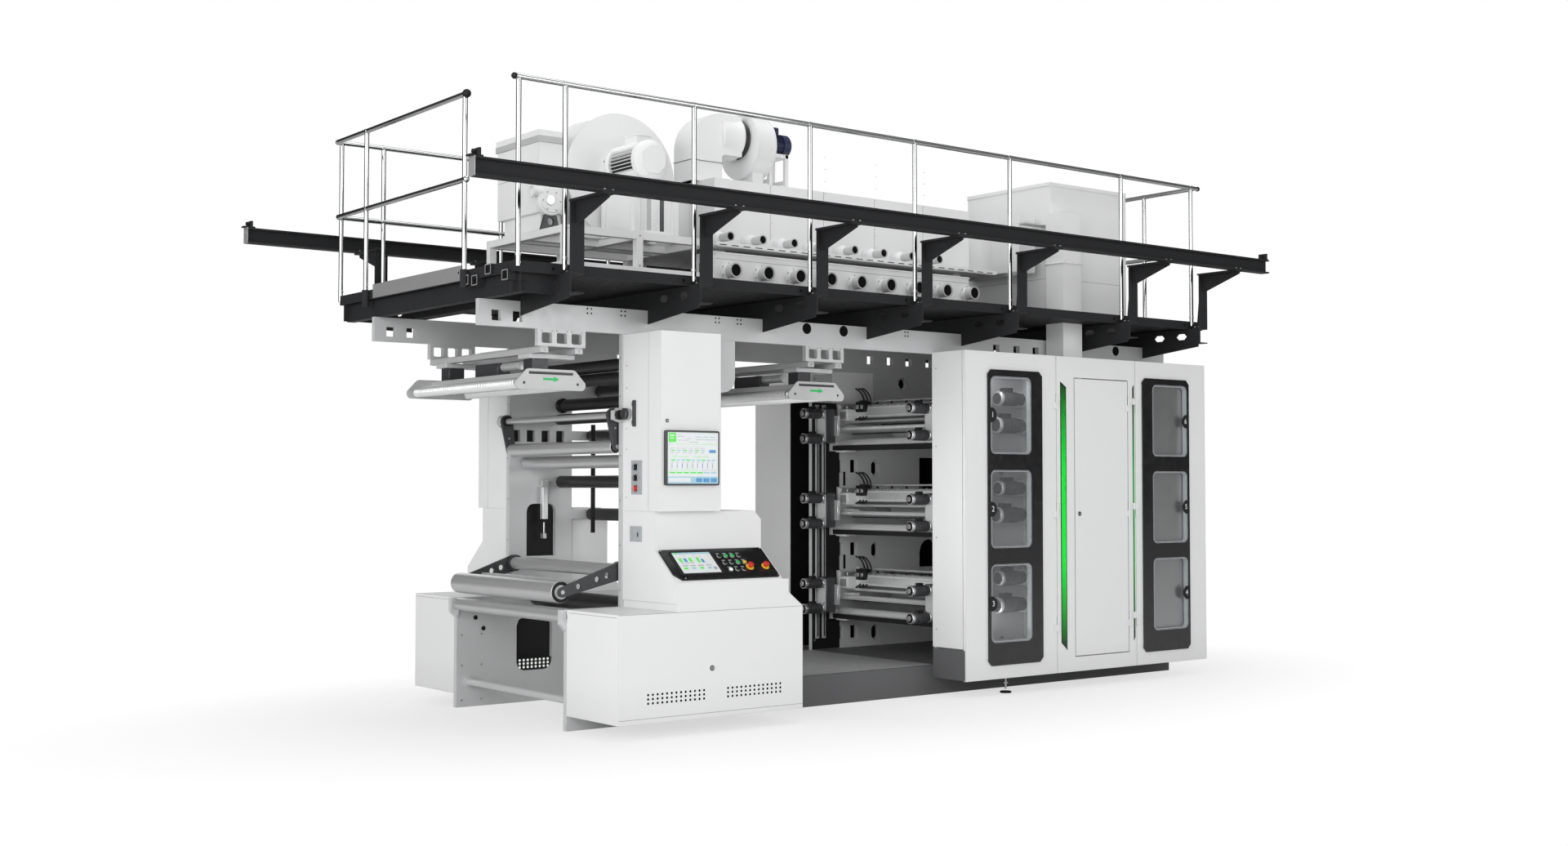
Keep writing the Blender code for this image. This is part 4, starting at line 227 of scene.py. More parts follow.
class Piece:
    """Gathers solids of several finishes, then makes one object of them.

    Its methods' coordinates count from place, and side mirrors them: FAR as given, NEAR on the operator's side.
    """

    def __init__(self, name, body="press", replaces=(), slot="panel_white"):
        self.name, self.body, self.replaced, self.slot = name, body, replaces, slot
        self.points, self.faces, self.finishes, self.keys = [], [], [], []
        self.side, self.place = FAR, (0, 0, 0)
        PIECES.append(self)

    def add(self, points, faces, key, matrix=None):
        if key not in self.keys:
            self.keys.append(key)
        start = len(self.points)
        for point in points:
            x, y, z = (c + move for c, move in zip(matrix @ Vector(point) if matrix else point, self.place))
            self.points.append((x - CENTRE_X, self.side * y, z))
        self.faces += [tuple(start + i for i in face) for face in faces]
        self.finishes += [self.keys.index(key)] * len(faces)

    def skin(self, rings, key, matrix=None):
        """A closed skin over rings of points."""
        count = len(rings[0])
        last = count * (len(rings) - 1)
        faces = [(low + i, low + (i + 1) % count, low + count + (i + 1) % count, low + count + i)
                 for low in range(0, last, count) for i in range(count)]
        faces += [tuple(range(count)), tuple(range(last, last + count))]
        self.add([point for ring in rings for point in ring], faces, key, matrix)

    def box(self, x0, x1, y0, y1, z0, z1, key, bevel=0.0015, matrix=None):
        """A box with chamfered edges: three points at each corner, one on each face that meets there."""
        spans = [sorted(pair) for pair in ((x0, x1), (y0, y1), (z0, z1))]
        middle = [(low + high) / 2 for low, high in spans]
        half = [(high - low) / 2 for low, high in spans]
        cut = min(bevel, *(h * 0.45 for h in half))
        points = [[middle[i] + corner[i] * (half[i] - (0 if i == axis else cut)) for i in range(3)]
                  for corner in product((-1, 1), repeat=3) for axis in range(3)]
        faces = [(3 * corner, 3 * corner + 1, 3 * corner + 2) for corner in range(8)]
        steps = (4, 2, 1)
        for axis, (one, two) in enumerate(((1, 2), (0, 2), (0, 1))):
            along, right, up = steps[axis], steps[one], steps[two]
            for base in (0, along):
                faces.append([3 * corner + axis for corner in (base, base + right, base + right + up, base + up)])
            for low in (0, right, up, right + up):
                high = low + along
                faces.append((3 * low + one, 3 * high + one, 3 * high + two, 3 * low + two))
        self.add(points, faces, key, matrix)

    def boxes(self, key, bevel, *rows):
        for row in rows:
            self.box(*row, key, bevel)

    def turned(self, axis, a, b, profile, key, segments=32, matrix=None, phase=0.0):
        """A body of revolution from (place along the axis, radius) pairs, closed at its ends."""
        angles = [2 * math.pi * (i + phase) / segments for i in range(segments)]
        self.skin([[spot(axis, a + radius * math.cos(t), b + radius * math.sin(t), along) for t in angles]
                   for along, radius in profile], key, matrix)

    def rod(self, axis, a, b, radius, low, high, key, segments=24, bevel=0.0015, phase=0.0):
        cut = min(bevel, radius * 0.4, abs(high - low) * 0.4)
        way = cut if high > low else -cut
        profile = [(low, radius - cut), (low + way, radius), (high - way, radius), (high, radius - cut)]
        self.turned(axis, a, b, profile, key, segments, None, phase)

    def prism(self, axis, outline, low, high, key, matrix=None):
        self.skin([[spot(axis, a, b, along) for a, b in outline] for along in (low, high)], key, matrix)

    def plate(self, axis, outline, holes, low, high, key):
        """A flat plate with holes of any outline."""
        shape = bmesh.new()
        for loop in [outline, *holes]:
            ring = [shape.verts.new((a, b, 0.0)) for a, b in loop]
            for i, vert in enumerate(ring):
                shape.edges.new((vert, ring[(i + 1) % len(ring)]))
        bmesh.ops.triangle_fill(shape, edges=shape.edges[:], use_beauty=True, use_dissolve=False)
        shape.verts.index_update()
        flat = [(v.co.x, v.co.y) for v in shape.verts]
        count = len(flat)
        faces = [tuple(v.index for v in f.verts) for f in shape.faces]
        faces += [tuple(i + count for i in face) for face in faces]
        rims = [(e.verts[0].index, e.verts[1].index) for e in shape.edges if len(e.link_faces) == 1]
        shape.free()
        faces += [(i, j, j + count, i + count) for i, j in rims]
        self.add([spot(axis, a, b, along) for along in (low, high) for a, b in flat], faces, key)

    def ring(self, axis, a, b, outer, inner, low, high, key, segments=24):
        self.plate(axis, circle(a, b, outer, segments), [circle(a, b, inner, segments)], low, high, key)

    def tube(self, path, radius, key, segments):
        """A round tube along a path, mitred at its bends."""
        path = [Vector(p) for p in path]
        rings, side = [], path[0] - path[1]
        side = (-side).normalized().orthogonal()
        for i, place in enumerate(path):
            before = (place - path[i - 1]).normalized() if i else None
            after = (path[i + 1] - place).normalized() if i + 1 < len(path) else None
            heading = ((before or after) + (after or before)).normalized()
            side = (side - heading * side.dot(heading)).normalized()
            up = heading.cross(side)
            stretch = 1.0 / max(0.5, heading.dot(after or before))
            bend = (after - before).normalized() if before and after else Vector((0, 0, 0))
            outs = [side * math.cos(2 * math.pi * k / segments) + up * math.sin(2 * math.pi * k / segments)
                    for k in range(segments)]
            rings.append([place + (out + bend * out.dot(bend) * (stretch - 1)) * radius for out in outs])
        self.skin(rings, key)

    def bolt(self, axis, a, b, face, out, size=0.009):
        """A washer and a socket-head bolt on a face; out is the way it points, 1 or -1."""
        self.rod(axis, a, b, size * 1.25, face - out * 0.001, face + out * 0.0016, "zinc", 16, 0.0004)
        self.rod(axis, a, b, size, face, face + out * size * 0.75, "zinc", 6, 0.0008)
        self.rod(axis, a, b, size * 0.45, face + out * size * 0.5, face + out * size * 0.80, "dark_hole", 6, 0.0002)

    def bolts(self, axis, places, face, out, size):
        for a, b in places:
            self.bolt(axis, a, b, face, out, size)

    def done(self):
        mesh = bpy.data.meshes.new(self.name)
        mesh.from_pydata(self.points, [], self.faces)
        for key in self.keys:
            mesh.materials.append(MATERIALS[key])
        mesh.polygons.foreach_set("material_index", self.finishes)
        shape = bmesh.new()
        shape.from_mesh(mesh)
        bmesh.ops.recalc_face_normals(shape, faces=shape.faces[:])
        shape.to_mesh(mesh)
        shape.free()
        mesh.polygons.foreach_set("use_smooth", [True] * len(mesh.polygons))
        mesh.set_sharp_from_angle(angle=math.radians(36))
        item = bpy.data.objects.new(self.name, mesh)
        bpy.context.scene.collection.objects.link(item)
        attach(item, self.body)
        if self.replaced:
            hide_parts(*self.replaced)


def arc(a, b, radius, start, end, steps=8):
    angles = [math.radians(start + (end - start) * i / steps) for i in range(steps + 1)]
    return [(a + radius * math.cos(t), b + radius * math.sin(t)) for t in angles]


def circle(a, b, radius, steps=24, start=0):
    """Points evenly round a circle: an outline, or places for bolts."""
    return arc(a, b, radius, start, start + 360 - 360 / steps, steps - 1)


def rounded(a, b, width, height, corner, steps=4):
    x, y = width / 2 - corner, height / 2 - corner
    return (arc(a + x, b + y, corner, 0, 90, steps) + arc(a - x, b + y, corner, 90, 180, steps)
            + arc(a - x, b - y, corner, 180, 270, steps) + arc(a + x, b - y, corner, 270, 360, steps))


def roller(piece, x, z, radius, face, journal, reach, key, rings=None, segments=40):
    """A roller along y with chamfered ends, end caps and journals. Rings are the pitch and depth of its grooves."""
    edge = 0.004
    end = [(face - edge, radius), (face, radius - edge), (face, radius * 0.66), (face + 0.010, radius * 0.62),
           (face + 0.010, journal), (reach - 0.002, journal), (reach, journal * 0.9)]
    profile = [(-y, r) for y, r in reversed(end)]
    if rings:
        pitch, depth = rings
        count = int((2 * face - 0.04) / pitch)
        start = -count * pitch / 2
        for i in range(count):
            profile += [(start + (i + share) * pitch, radius - cut)
                        for share, cut in ((0, 0), (0.55, 0), (0.65, depth), (0.9, depth))]
        profile.append((start + count * pitch, radius))
    piece.turned("Y", x, z, profile + end, key, segments)


def arm_shape(start, end, radius_start, radius_end):
    heading = math.degrees(math.atan2(end[1] - start[1], end[0] - start[0]))
    return (arc(*start, radius_start, heading + 90, heading + 270, 12)
            + arc(*end, radius_end, heading - 90, heading + 90, 12))


# Unwind and rewind unit

IDLERS = {  # x, z, radius, finish and grooves
    "upper_idler_roller": (0.860, 2.200, 0.044, "rubber"),
    "grooved_idler_roller": (0.838, 2.095, 0.040, "rubber", (0.016, 0.002)),
    "silver_idler_roller": (0.560, 1.765, 0.045, "satin_roll"),
    "middle_idler_roller": (0.855, 1.627, 0.045, "rubber"),
    "draw_roller": (0.656, 0.772, 0.0635, "rubber"),
    "front_idler_roller": (0.010, 0.745, 0.045, "satin_roll"),
    "lobe_roller": (1.200, 2.318, 0.048, "rubber"),
    "high_rear_roller": (1.120, 1.977, 0.044, "rubber"),
    "low_rear_roller": (1.120, 1.382, 0.046, "rough_rubber"),
}
ARM_IN, ARM_OUT = 0.7145, 0.7345     # inner and outer face of the dancer and swing arms


def rollers():
    for name, (x, z, radius, key, *rings) in IDLERS.items():
        piece = Piece(name + "_turned", name, [name], "dark_rubber" if "rubber" in key else "machined_steel")
        roller(piece, x, z, radius, 0.7345, 0.020, HALF - 0.003, key, *rings)
        for piece.side in (NEAR, FAR):
            piece.turned("Y", x, z, [(0.7338, radius - 0.006), (0.7352, radius - 0.006), (0.7352, 0.022)], "gunmetal")
            piece.turned("Y", x, z, [(0.7400, 0.0205), (0.7400, 0.030), (0.7455, 0.030), (0.7455, 0.0205)],
                         "matt_black", 24)
    # two more dark rollers show high up between the columns; they are drawn without a joint
    piece = Piece("high_twin_rollers", slot="dark_rubber")
    for z in (2.345, 2.436):
        roller(piece, 0.620, z, 0.044, 0.720, 0.016, INNER - 0.001, "rubber")
    for name, x, z, radius, cap, segments in (("swing_roller", 0.420, 1.860, 0.044, 0.0405, 40),
                                              ("dancer_roller", 0.0, 0.900, 0.0725, 0.0690, 56)):
        piece = Piece(name + "_turned", name, [name], "machined_steel")
        roller(piece, x, z, radius, 0.7085, 0.015, ARM_OUT, "satin_roll", None, segments)
        for piece.side in (NEAR, FAR):
            piece.plate("Y", circle(x, z, cap, 48), [circle(x, z, 0.0185)], 0.7080, 0.7095, "matt_black")


def dancer():
    piece = Piece("dancer_arm_dressed", "dancer_arm", ["dancer_arm"], "frame_grey")
    pivot, tip = (0.450, 1.030), (0.0, 0.900)
    holes = [(0.450 * (1 - s), 1.030 - 0.130 * s) for s in (0.24, 0.41, 0.73)]
    for piece.side in (NEAR, FAR):
        piece.plate("Y", arm_shape(pivot, tip, 0.060, 0.034), [circle(*hole, 0.021) for hole in holes]
                    + [circle(*tip, 0.0156, 20)], ARM_IN, ARM_OUT, "gunmetal")
        for hole in holes:
            piece.ring("Y", *hole, 0.026, 0.021, 0.7125, 0.7150, "gunmetal", 28)
        piece.bolts("Y", circle(*pivot, 0.044, 6), ARM_IN, -1, 0.005)
        piece.turned("Y", *pivot, [(0.690, 0.045), (0.690, 0.0595), (0.704, 0.0595), (0.714, 0.050), (0.714, 0.030)],
                     "gunmetal", 36)
    piece.turned("Y", *pivot, [(-0.7835, 0.020), (-0.7245, 0.020), (-0.7245, 0.045), (0.7245, 0.045), (0.7245, 0.020),
                               (0.7835, 0.020)], "satin_roll", 40)
    piece.rod("Y", 0.450 * 0.43, 1.030 - 0.130 * 0.57, 0.013, -0.7185, 0.7185, "bright_steel")


def cylinder_and_swing():
    piece = Piece("dancer_cylinder", slot="machined_steel")
    piece.place = (0.690, 0.700, 0)
    piece.box(-0.030, 0.030, -0.022, 0.046, 1.585, 1.640, "steel")
    piece.box(-0.022, 0.022, -0.022, 0.022, 1.345, 1.590, "aluminium", 0.004)
    for x in (-0.017, 0.017):
        piece.rod("Z", x, -0.017, 0.006, 1.350, 1.585, "aluminium", 12)
    piece.box(-0.026, 0.026, -0.026, 0.026, 1.325, 1.350, "matt_black", 0.002)
    piece.rod("Z", 0, 0, 0.008, 1.235, 1.330, "chrome", 16)
    piece.box(-0.014, 0.014, -0.014, 0.030, 1.205, 1.245, "steel")
    piece.rod("X", 0, 1.612, 0.010, -0.036, 0.036, "zinc", 12)
    pivot, tip = (0.385, 2.070), (0.420, 1.860)
    piece = Piece("swing_bearings", slot="machined_steel")
    for piece.side in (NEAR, FAR):
        piece.rod("Y", *pivot, 0.046, HALF, HALF + 0.012, "frame", 32)
        piece.rod("Y", *pivot, 0.032, HALF + 0.012, HALF + 0.040, "matt_black", 32, 0.004)
        piece.bolts("Y", circle(*pivot, 0.038, 4, 45), HALF + 0.012, 1, 0.004)
    piece = Piece("drive_collar", "upper_idler_roller", slot="dark_rubber")
    piece.place = (0.860, INNER, 2.200)
    piece.turned("Y", 0, 0, [(-0.014, 0.024), (-0.014, 0.056), (-0.030, 0.056), (-0.034, 0.050), (-0.062, 0.048),
                             (-0.064, 0.0435)], "matt_black", 36)
    piece.bolts("Y", circle(0, 0, 0.052, 6), -0.031, -1, 0.0035)
    piece = Piece("swing_arm_dressed", "swing_arm", ["swing_arm"], "frame_grey")
    for piece.side in (NEAR, FAR):
        piece.plate("Y", arm_shape(pivot, tip, 0.048, 0.034), [circle(*tip, 0.0156, 20)], ARM_IN, ARM_OUT, "gunmetal")
        piece.turned("Y", *pivot, [(0.700, 0.0215), (0.700, 0.036), (0.7140, 0.036), (0.7140, 0.024)],
                     "matt_black", 28)
        piece.bolt("Y", 0.401, 1.985, ARM_OUT, 1, 0.006)
        piece.bolt("Y", 0.401, 1.945, ARM_IN, -1, 0.006)
    piece.turned("Y", *pivot, [(-0.7835, 0.020), (-0.7345, 0.0215), (0.7345, 0.0215), (0.7835, 0.020)], "satin_roll")
    piece = Piece("idler_bearings", slot="machined_steel")
    for x, z, *_ in IDLERS.values():
        for piece.side in (NEAR, FAR):
            piece.ring("Y", x, z, 0.034, 0.0215, HALF, HALF + 0.006, "steel")


def side_frame_fittings():
    piece = Piece("side_frame_fittings", slot="frame_grey")
    for piece.side in (NEAR, FAR):
        # the openings look into dark housings; the low one has a perforated guard whose holes glow with painted light
        deep, back, guard = HALF - 0.006, HALF - 0.002, INNER + 0.006
        piece.boxes("matt_black", 0.0005, (0.569, 0.815, deep, back, 1.076, 1.462),
                    (0.491, 0.789, deep, back, 0.232, 0.624),
                    *[(x - 0.034, x + 0.034, deep, back, 1.926, 2.010) for x in (0.476, 0.602, 0.728, 0.854)])
        piece.box(0.495, 0.785, guard, guard + 0.003, 0.236, 0.322, "matt_black", 0.001)
        # painted light: the guard's holes glow white
        for i, k in product(range(8), range(3)):
            piece.rod("Y", 0.520 + i * 0.034, 0.254 + k * 0.026, 0.0095, guard - 0.0008, guard + 0.001, "lamp_and_painted_glow_white",
                      12, 0.0002)
        for x, z in ((0.150, 0.640), (0.215, 0.560), (1.260, 0.640), (1.330, 0.600)):
            piece.rod("Y", x, z, 0.017, INNER, INNER - 0.004, "matt_black", 20, 0.001)
        piece.bolts("X", product((INNER + 0.020,), (0.90, 1.20, 1.50, 1.80, 2.20, 2.45)), 0.420, -1, 0.005)
        piece.bolts("Y", product((0.47, 0.90), (2.34, 2.52)), INNER, -1, 0.007)
        piece.bolts("Y", product((0.04, 0.20, 1.40), (0.05, 0.30, 0.52)), INNER, -1, 0.006)
        piece.box(-0.004, 0.004, INNER - 0.030, INNER, 0.650, 0.735, "steel")
    # upright scraper bar and guard on the far column, behind the rollers
    piece.box(0.925, 0.950, 0.40, 0.425, 1.25, 2.05, "matt_black")


def lock(piece, x, z, face, sizes):
    """A round lock on a face along y: radius and rise of its rose and its barrel."""
    (rose, rise), (barrel, height) = sizes
    piece.rod("Y", x, z, rose, face, face + rise, "matt_black", 28, 0.001)
    piece.rod("Y", x, z, barrel, face, face + height, "zinc", 28, 0.001)


def console_fittings():
    face = HALF + 0.622
    for side, body in ((NEAR, "near_console"), (FAR, "far_console")):
        piece = Piece(body + "_fittings", slot="black_gloss")
        piece.side = side
        for x, i, k in product((0.222, 0.846), range(13), range(3)):
            piece.rod("Y", x + i * 0.0360, 0.225 + k * 0.027, 0.0080, face - 0.001, face + 0.0006, "dark_hole", 14,
                      0.0002)
        lock(piece, 0.718, 0.417, face, ((0.017, 0.004), (0.011, 0.006)))
        piece.box(0.716, 0.720, face, face + 0.0065, 0.410, 0.424, "dark_hole", 0.0003)
        # door seams and the fold line of the cabinet's front
        piece.boxes("seam", 0, *[(0.006, 1.464, face - 0.001, face + 0.0004, z, z + 0.002) for z in (0.786, 0.130)],
                    (-0.0006, 0.001, HALF + 0.020, HALF + 0.602, 0.770, 0.772))


def column_fittings():
    """Key switch, switch strip, knob of the swing arm and socket on the near column. Its front face is at x = 0.430."""
    piece = Piece("column_fittings", slot="machined_steel")
    face = -(HALF + 0.450)
    piece.rod("Y", 0.478, 2.022, 0.012, face, face - 0.006, "matt_black", 20)
    piece.rod("Y", 0.478, 2.022, 0.007, face, face - 0.008, "zinc", 20)
    piece.place = (0.430, -0.9555, 0)
    piece.box(-0.006, 0, -0.0625, 0.0625, 1.540, 1.765, "screen_grey", 0.002)
    for z, key in ((1.720, "matt_black"), (1.650, "matt_black"), (1.580, "red")):
        piece.rod("X", 0, z, 0.024, -0.006, -0.012, "zinc")
        piece.rod("X", 0, z, 0.019, -0.012, -0.030, key, 24, 0.003)
        piece.box(-0.034, -0.029, -0.003, 0.003, z - 0.015, z + 0.015, "satin_roll", 0.0008)
    piece.bolts("X", product((-0.0525, 0.0525), (1.550, 1.755)), -0.006, -1, 0.003)
    piece.box(-0.010, 0, -0.0625, 0.0725, 1.230, 1.330, "screen_grey", 0.003)
    piece.box(-0.014, -0.010, -0.030, -0.022, 1.262, 1.290, "matt_black", 0.001)
    piece.place = (0.430, -0.859, 0)
    piece.box(-0.020, 0, -0.084, -0.064, 1.990, 2.165, "gunmetal", 0.002)
    for z in (2.020, 2.140):
        piece.box(-0.006, 0, -0.065, -0.028, z - 0.017, z + 0.017, "lid_grey", 0.002)
        piece.rod("X", -0.046, z, 0.006, -0.0068, -0.005, "dark_hole", 14, 0.0002)
    piece.turned("X", 0, 2.076, [(0, 0.030), (-0.016, 0.034), (-0.018, 0.040), (-0.030, 0.040)], "lid_grey", 36)
    piece.turned("X", 0, 2.076, [(-0.030, 0.040), (-0.046, 0.038), (-0.052, 0.032), (-0.052, 0.024), (-0.047, 0.022),
                                 (-0.047, 0.004)], "gunmetal", 36)
    for z in (1.52, 1.84, 1.98, 2.10, 2.25, 2.40):
        piece.rod("X", 0.029, z, 0.005, 0, -0.003, "zinc", 10)


# Marks on the two screens: left, right, top and bottom as shares of the picture, finish, and rise above the others
SCREEN_MARKS = [
    (0.0, 1.0, 0.0, 0.012, "grey"), (0.02, 0.17, 0.02, 0.20, "green"), (0.05, 0.14, 0.06, 0.08, "white", 0.0008),
    (0.05, 0.12, 0.11, 0.125, "white", 0.0008), (0.0, 1.0, 0.235, 0.240, "green"), (0.82, 0.95, 0.34, 0.40, "blue"),
    (0.04, 0.60, 0.735, 0.741, "green"), (0.64, 0.96, 0.735, 0.741, "grey"), (0.0, 1.0, 0.86, 1.0, "cyan"),
    (0.02, 0.45, 0.885, 0.965, "white", 0.0008)]
for i, (u, w) in enumerate(((0.20, 0.08), (0.20, 0.14), (0.36, 0.10), (0.20, 0.22), (0.44, 0.16))):
    SCREEN_MARKS += [(u, u + w, 0.05 + 0.035 * i, 0.058 + 0.035 * i, "grey")]
for i in range(3):
    u = 0.55 + i * 0.14
    SCREEN_MARKS += [(u, u + 0.10, 0.08, 0.10, "cyan"), (u, u + 0.13, 0.14, 0.148, "grey"),
                     (0.56 + i * 0.145, 0.68 + i * 0.145, 0.89, 0.97, "blue", 0.0008)]
for i in range(6):
    u = 0.06 + i * 0.12
    SCREEN_MARKS += [(u, u + 0.08, 0.31, 0.316, "grey"), (u, u + 0.004, 0.31, 0.43, "grey"),
                     (u + 0.015, u + 0.075, 0.345, 0.37, "cyan" if i % 2 else "green"),
                     (u + 0.015, u + 0.06, 0.395, 0.405, "grey")]
for i in range(2):
    SCREEN_MARKS += [(0.08 + i * 0.42, 0.40 + i * 0.42, 0.47, 0.478, "green")]
for i in range(9):
    u = 0.07 + i * 0.10
    SCREEN_MARKS += [(u, u + 0.07, 0.53, 0.56, "cyan" if i % 3 else "green"), (u, u + 0.05, 0.59, 0.598, "grey"),
                     (u + 0.01, u + 0.025, 0.61, 0.70, "blue" if i % 4 == 2 else "grey")]
for i in range(7):
    SCREEN_MARKS += [(0.04 + i * 0.135, 0.15 + i * 0.135, 0.77, 0.80, "green" if i < 5 else "cyan")]
PANEL_MARKS = [
    (0.0, 1.0, 0.0, 0.08, "cyan"), (0.03, 0.15, 0.015, 0.065, "green", 0.0009), (0.55, 0.62, 0.24, 0.50, "green"),
    (0.66, 0.73, 0.33, 0.50, "blue"), (0.86, 0.95, 0.72, 0.86, "grey")]
for i in range(3):
    u = 0.08 + i * 0.13
    PANEL_MARKS += [(u, u + 0.08, 0.26 + 0.03 * (i % 2), 0.46, "blue" if i == 1 else "green"),
                    (u, u + 0.10, 0.50, 0.53, "grey")]
for i in range(4):
    u = 0.08 + 0.21 * i
    PANEL_MARKS += [(u, u + 0.14, 0.62, 0.66, "grey"), (u, u + 0.10, 0.72, 0.82, "cyan" if i % 2 else "green")]


def screen_piece():
    piece = Piece("column_screen_dressed", "press", ["column_screen"], "black_gloss")
    face = -(HALF + 0.450)
    middle, size = (0.6665, 1.780), (0.427, 0.360)

    def border(inset, corner):
        return rounded(*middle, *(length - inset for length in size), corner)
    piece.prism("Y", border(0, 0.012), face - 0.0243, face - 0.0003, "gunmetal")
    piece.plate("Y", border(0.004, 0.010), [border(0.022, 0.004)], face - 0.0290, face - 0.0230, "gunmetal")
    front = face - 0.0262
    left, top, width, height = 0.464, 1.949, 0.405, 0.338
    piece.box(left, left + width, front, face - 0.020, top - height, top, "screen_white", 0)
    for u0, u1, v0, v1, key, *rise in SCREEN_MARKS:
        piece.box(left + u0 * width, left + u1 * width, front - (rise or [0.0004])[0], front + 0.001, top - v1 * height,
                  top - v0 * height, "screen_" + key, 0)


def control_panel():
    """The operating panel on the sloping desk: x along it, y up the slope, z out of it."""
    piece = Piece("control_panel_dressed", "press", ["control_panel"], "black_gloss")
    rise, run, width = 0.200, 0.238, 0.840
    length = math.hypot(rise, run)
    seat = (Matrix.Translation((0.445, -(HALF + 0.618), 0.980)) @ Matrix.Rotation(math.atan2(rise, run), 4, "X")
            @ Matrix.Translation((0.0, 0.0, SEAT)))
    low, high, middle = 0.010, length - 0.010, length / 2
    for first, last, edge, corner, bottom, top in (
            ((0.045, low), (0.0, low + 0.055), 0.020, 0.020, 0.0, 0.007),
            ((0.049, low + 0.006), (0.006, low + 0.058), 0.022, 0.016, 0.0065, 0.0088)):
        outline = ([first] + arc(width - edge, low + edge, corner, -90, 0, 5)
                   + arc(width - edge, high - edge, corner, 0, 90, 5) + arc(edge, high - edge, corner, 90, 180, 5)
                   + [last])
        piece.prism("Z", outline, bottom, top, "black", seat)
    piece.prism("Z", rounded(0.235, middle + 0.010, 0.345, 0.225, 0.012), 0.008, 0.0118, "matt_black", seat)
    x0, y1, w, h = 0.085, middle + 0.108, 0.300, 0.196
    piece.box(x0, x0 + w, y1 - h, y1, 0.009, 0.0124, "screen_white", 0, seat)
    for u0, u1, v0, v1, key, *rise in PANEL_MARKS:
        piece.box(x0 + u0 * w, x0 + u1 * w, y1 - v1 * h, y1 - v0 * h, 0.011, 0.0124 + (rise or [0.0005])[0],
                  "screen_" + key, 0, seat)

    def knob(x, y, profile, key, segments):
        piece.turned("Z", x, y, profile, key, segments, seat)
    lit = {(0, 1): "green_mark", (0, 2): "green_mark", (1, 2): "green_mark", (1, 3): "yellow", (2, 0): "lamp_and_painted_glow_white"}
    for row, count in enumerate((4, 4, 3)):
        for column in range(count):
            x, y = 0.447 + column * 0.054 + row * 0.012, middle + (1 - row) * 0.066
            knob(x, y, [(0.008, 0.0175), (0.0125, 0.0175), (0.0140, 0.0160), (0.0140, 0.0130)], "zinc", 28)
            knob(x, y, [(0.009, 0.0128), (0.0175, 0.0128), (0.0190, 0.0110)], lit.get((row, column), "matt_black"), 28)
            piece.box(x - 0.013, x + 0.013, y + 0.023, y + 0.029, 0.008, 0.0096, "screen_grey", 0, seat)
    for x in (0.640, 0.770):
        knob(x, middle - 0.045, [(0.008, 0.0290), (0.0115, 0.0290), (0.0130, 0.0275)], "yellow", 32)
        knob(x, middle - 0.045, [(0.010, 0.013), (0.026, 0.013), (0.029, 0.020), (0.036, 0.021), (0.041, 0.017),
                                 (0.042, 0.008)], "red", 32)
    for x, y in ((0.075, low + 0.014), (width - 0.014, low + 0.014), (width - 0.014, high - 0.012),
                 (0.014, high - 0.012)):
        knob(x, y, [(0.007, 0.005), (0.0105, 0.005), (0.0115, 0.0035)], "zinc", 16)


# Web guides and beams

def web_guides():
    """Two web guides hang under the beams. x counts from the middle of their lower part."""
    high = 2.505 - SEAT
    low = high - 0.050
    foot = low - 0.022
    for number, middle in enumerate((-0.127, 2.100), 1):
        name = "web_guide_%d" % number
        piece = Piece(name + "_dressed", "press", [name], "machined_steel")
        piece.place = (middle, 0, 0)
        for x in (-0.050, 0.210):
            piece.box(x - 0.030, x + 0.030, -HALF, HALF, low + 0.008, high - 0.006, "guide_plate", 0.002)
            piece.box(x - 0.026, x + 0.026, -HALF, HALF, high - 0.010, high, "guide_plate", 0.001)
            piece.boxes("matt_black", 0, *[(x + dx - 0.003, x + dx + 0.003, -HALF + 0.002, HALF - 0.002, low + 0.0075,
                                            low + 0.012) for dx in (-0.012, 0.012)])
            for y in (INNER - 0.215, INNER - 0.105):
                piece.bolts("Z", ((x, -y), (x, y)), foot, -1, 0.006)
        for piece.side in (NEAR, FAR):
            piece.bolts("Y", ((-0.050, (low + high) / 2), (0.210, (low + high) / 2)), HALF, 1, 0.005)
            piece.box(-0.090, 0.250, INNER - 0.240, INNER - 0.080, foot, low + 0.009, "frame", 0.002)
            piece.box(-0.060, 0.060, INNER - 0.220, INNER - 0.100, 2.341, foot + 0.004, "gunmetal", 0.003)
            corner = [(0.232, 2.220), (0.252, 2.228), (0.262, 2.250), (0.260, 2.270), (0.184, 2.349), (0.167, 2.355)]
            piece.prism("Y", corner + [(-x, z) for x, z in reversed(corner)], HALF - 0.012, HALF, "guide_plate")
            piece.box(-0.165, 0.165, HALF, HALF + 0.0015, 2.320, 2.337, "motor_grey", 0.0005)
            piece.prism("Y", [(-0.060, 2.283), (0.020, 2.283), (0.020, 2.272), (0.062, 2.290), (0.020, 2.308),
                              (0.020, 2.297), (-0.060, 2.297)], HALF, HALF + 0.0008, "green_mark")
            for x in (-0.200, 0.200):
                piece.rod("Y", x, 2.262, 0.009, HALF, HALF + 0.004, "gunmetal", 20)
        piece.box(-0.05, 0.05, -0.16, 0.16, 2.341, 2.430, "motor_grey", 0.004)
        piece.rod("Y", 0, 2.400, 0.030, -0.40, -0.16, "aluminium")
        piece.box(-0.070, 0.070, -HALF + 0.008, HALF - 0.008, 2.300, 2.345, "guide_plate", 0.003)
        for x in (-0.200, 0.200):
            roller(piece, x, 2.262, 0.036, INNER - 0.010, 0.012, HALF - 0.008, "bright_steel", (0.022, 0.0040), 32)


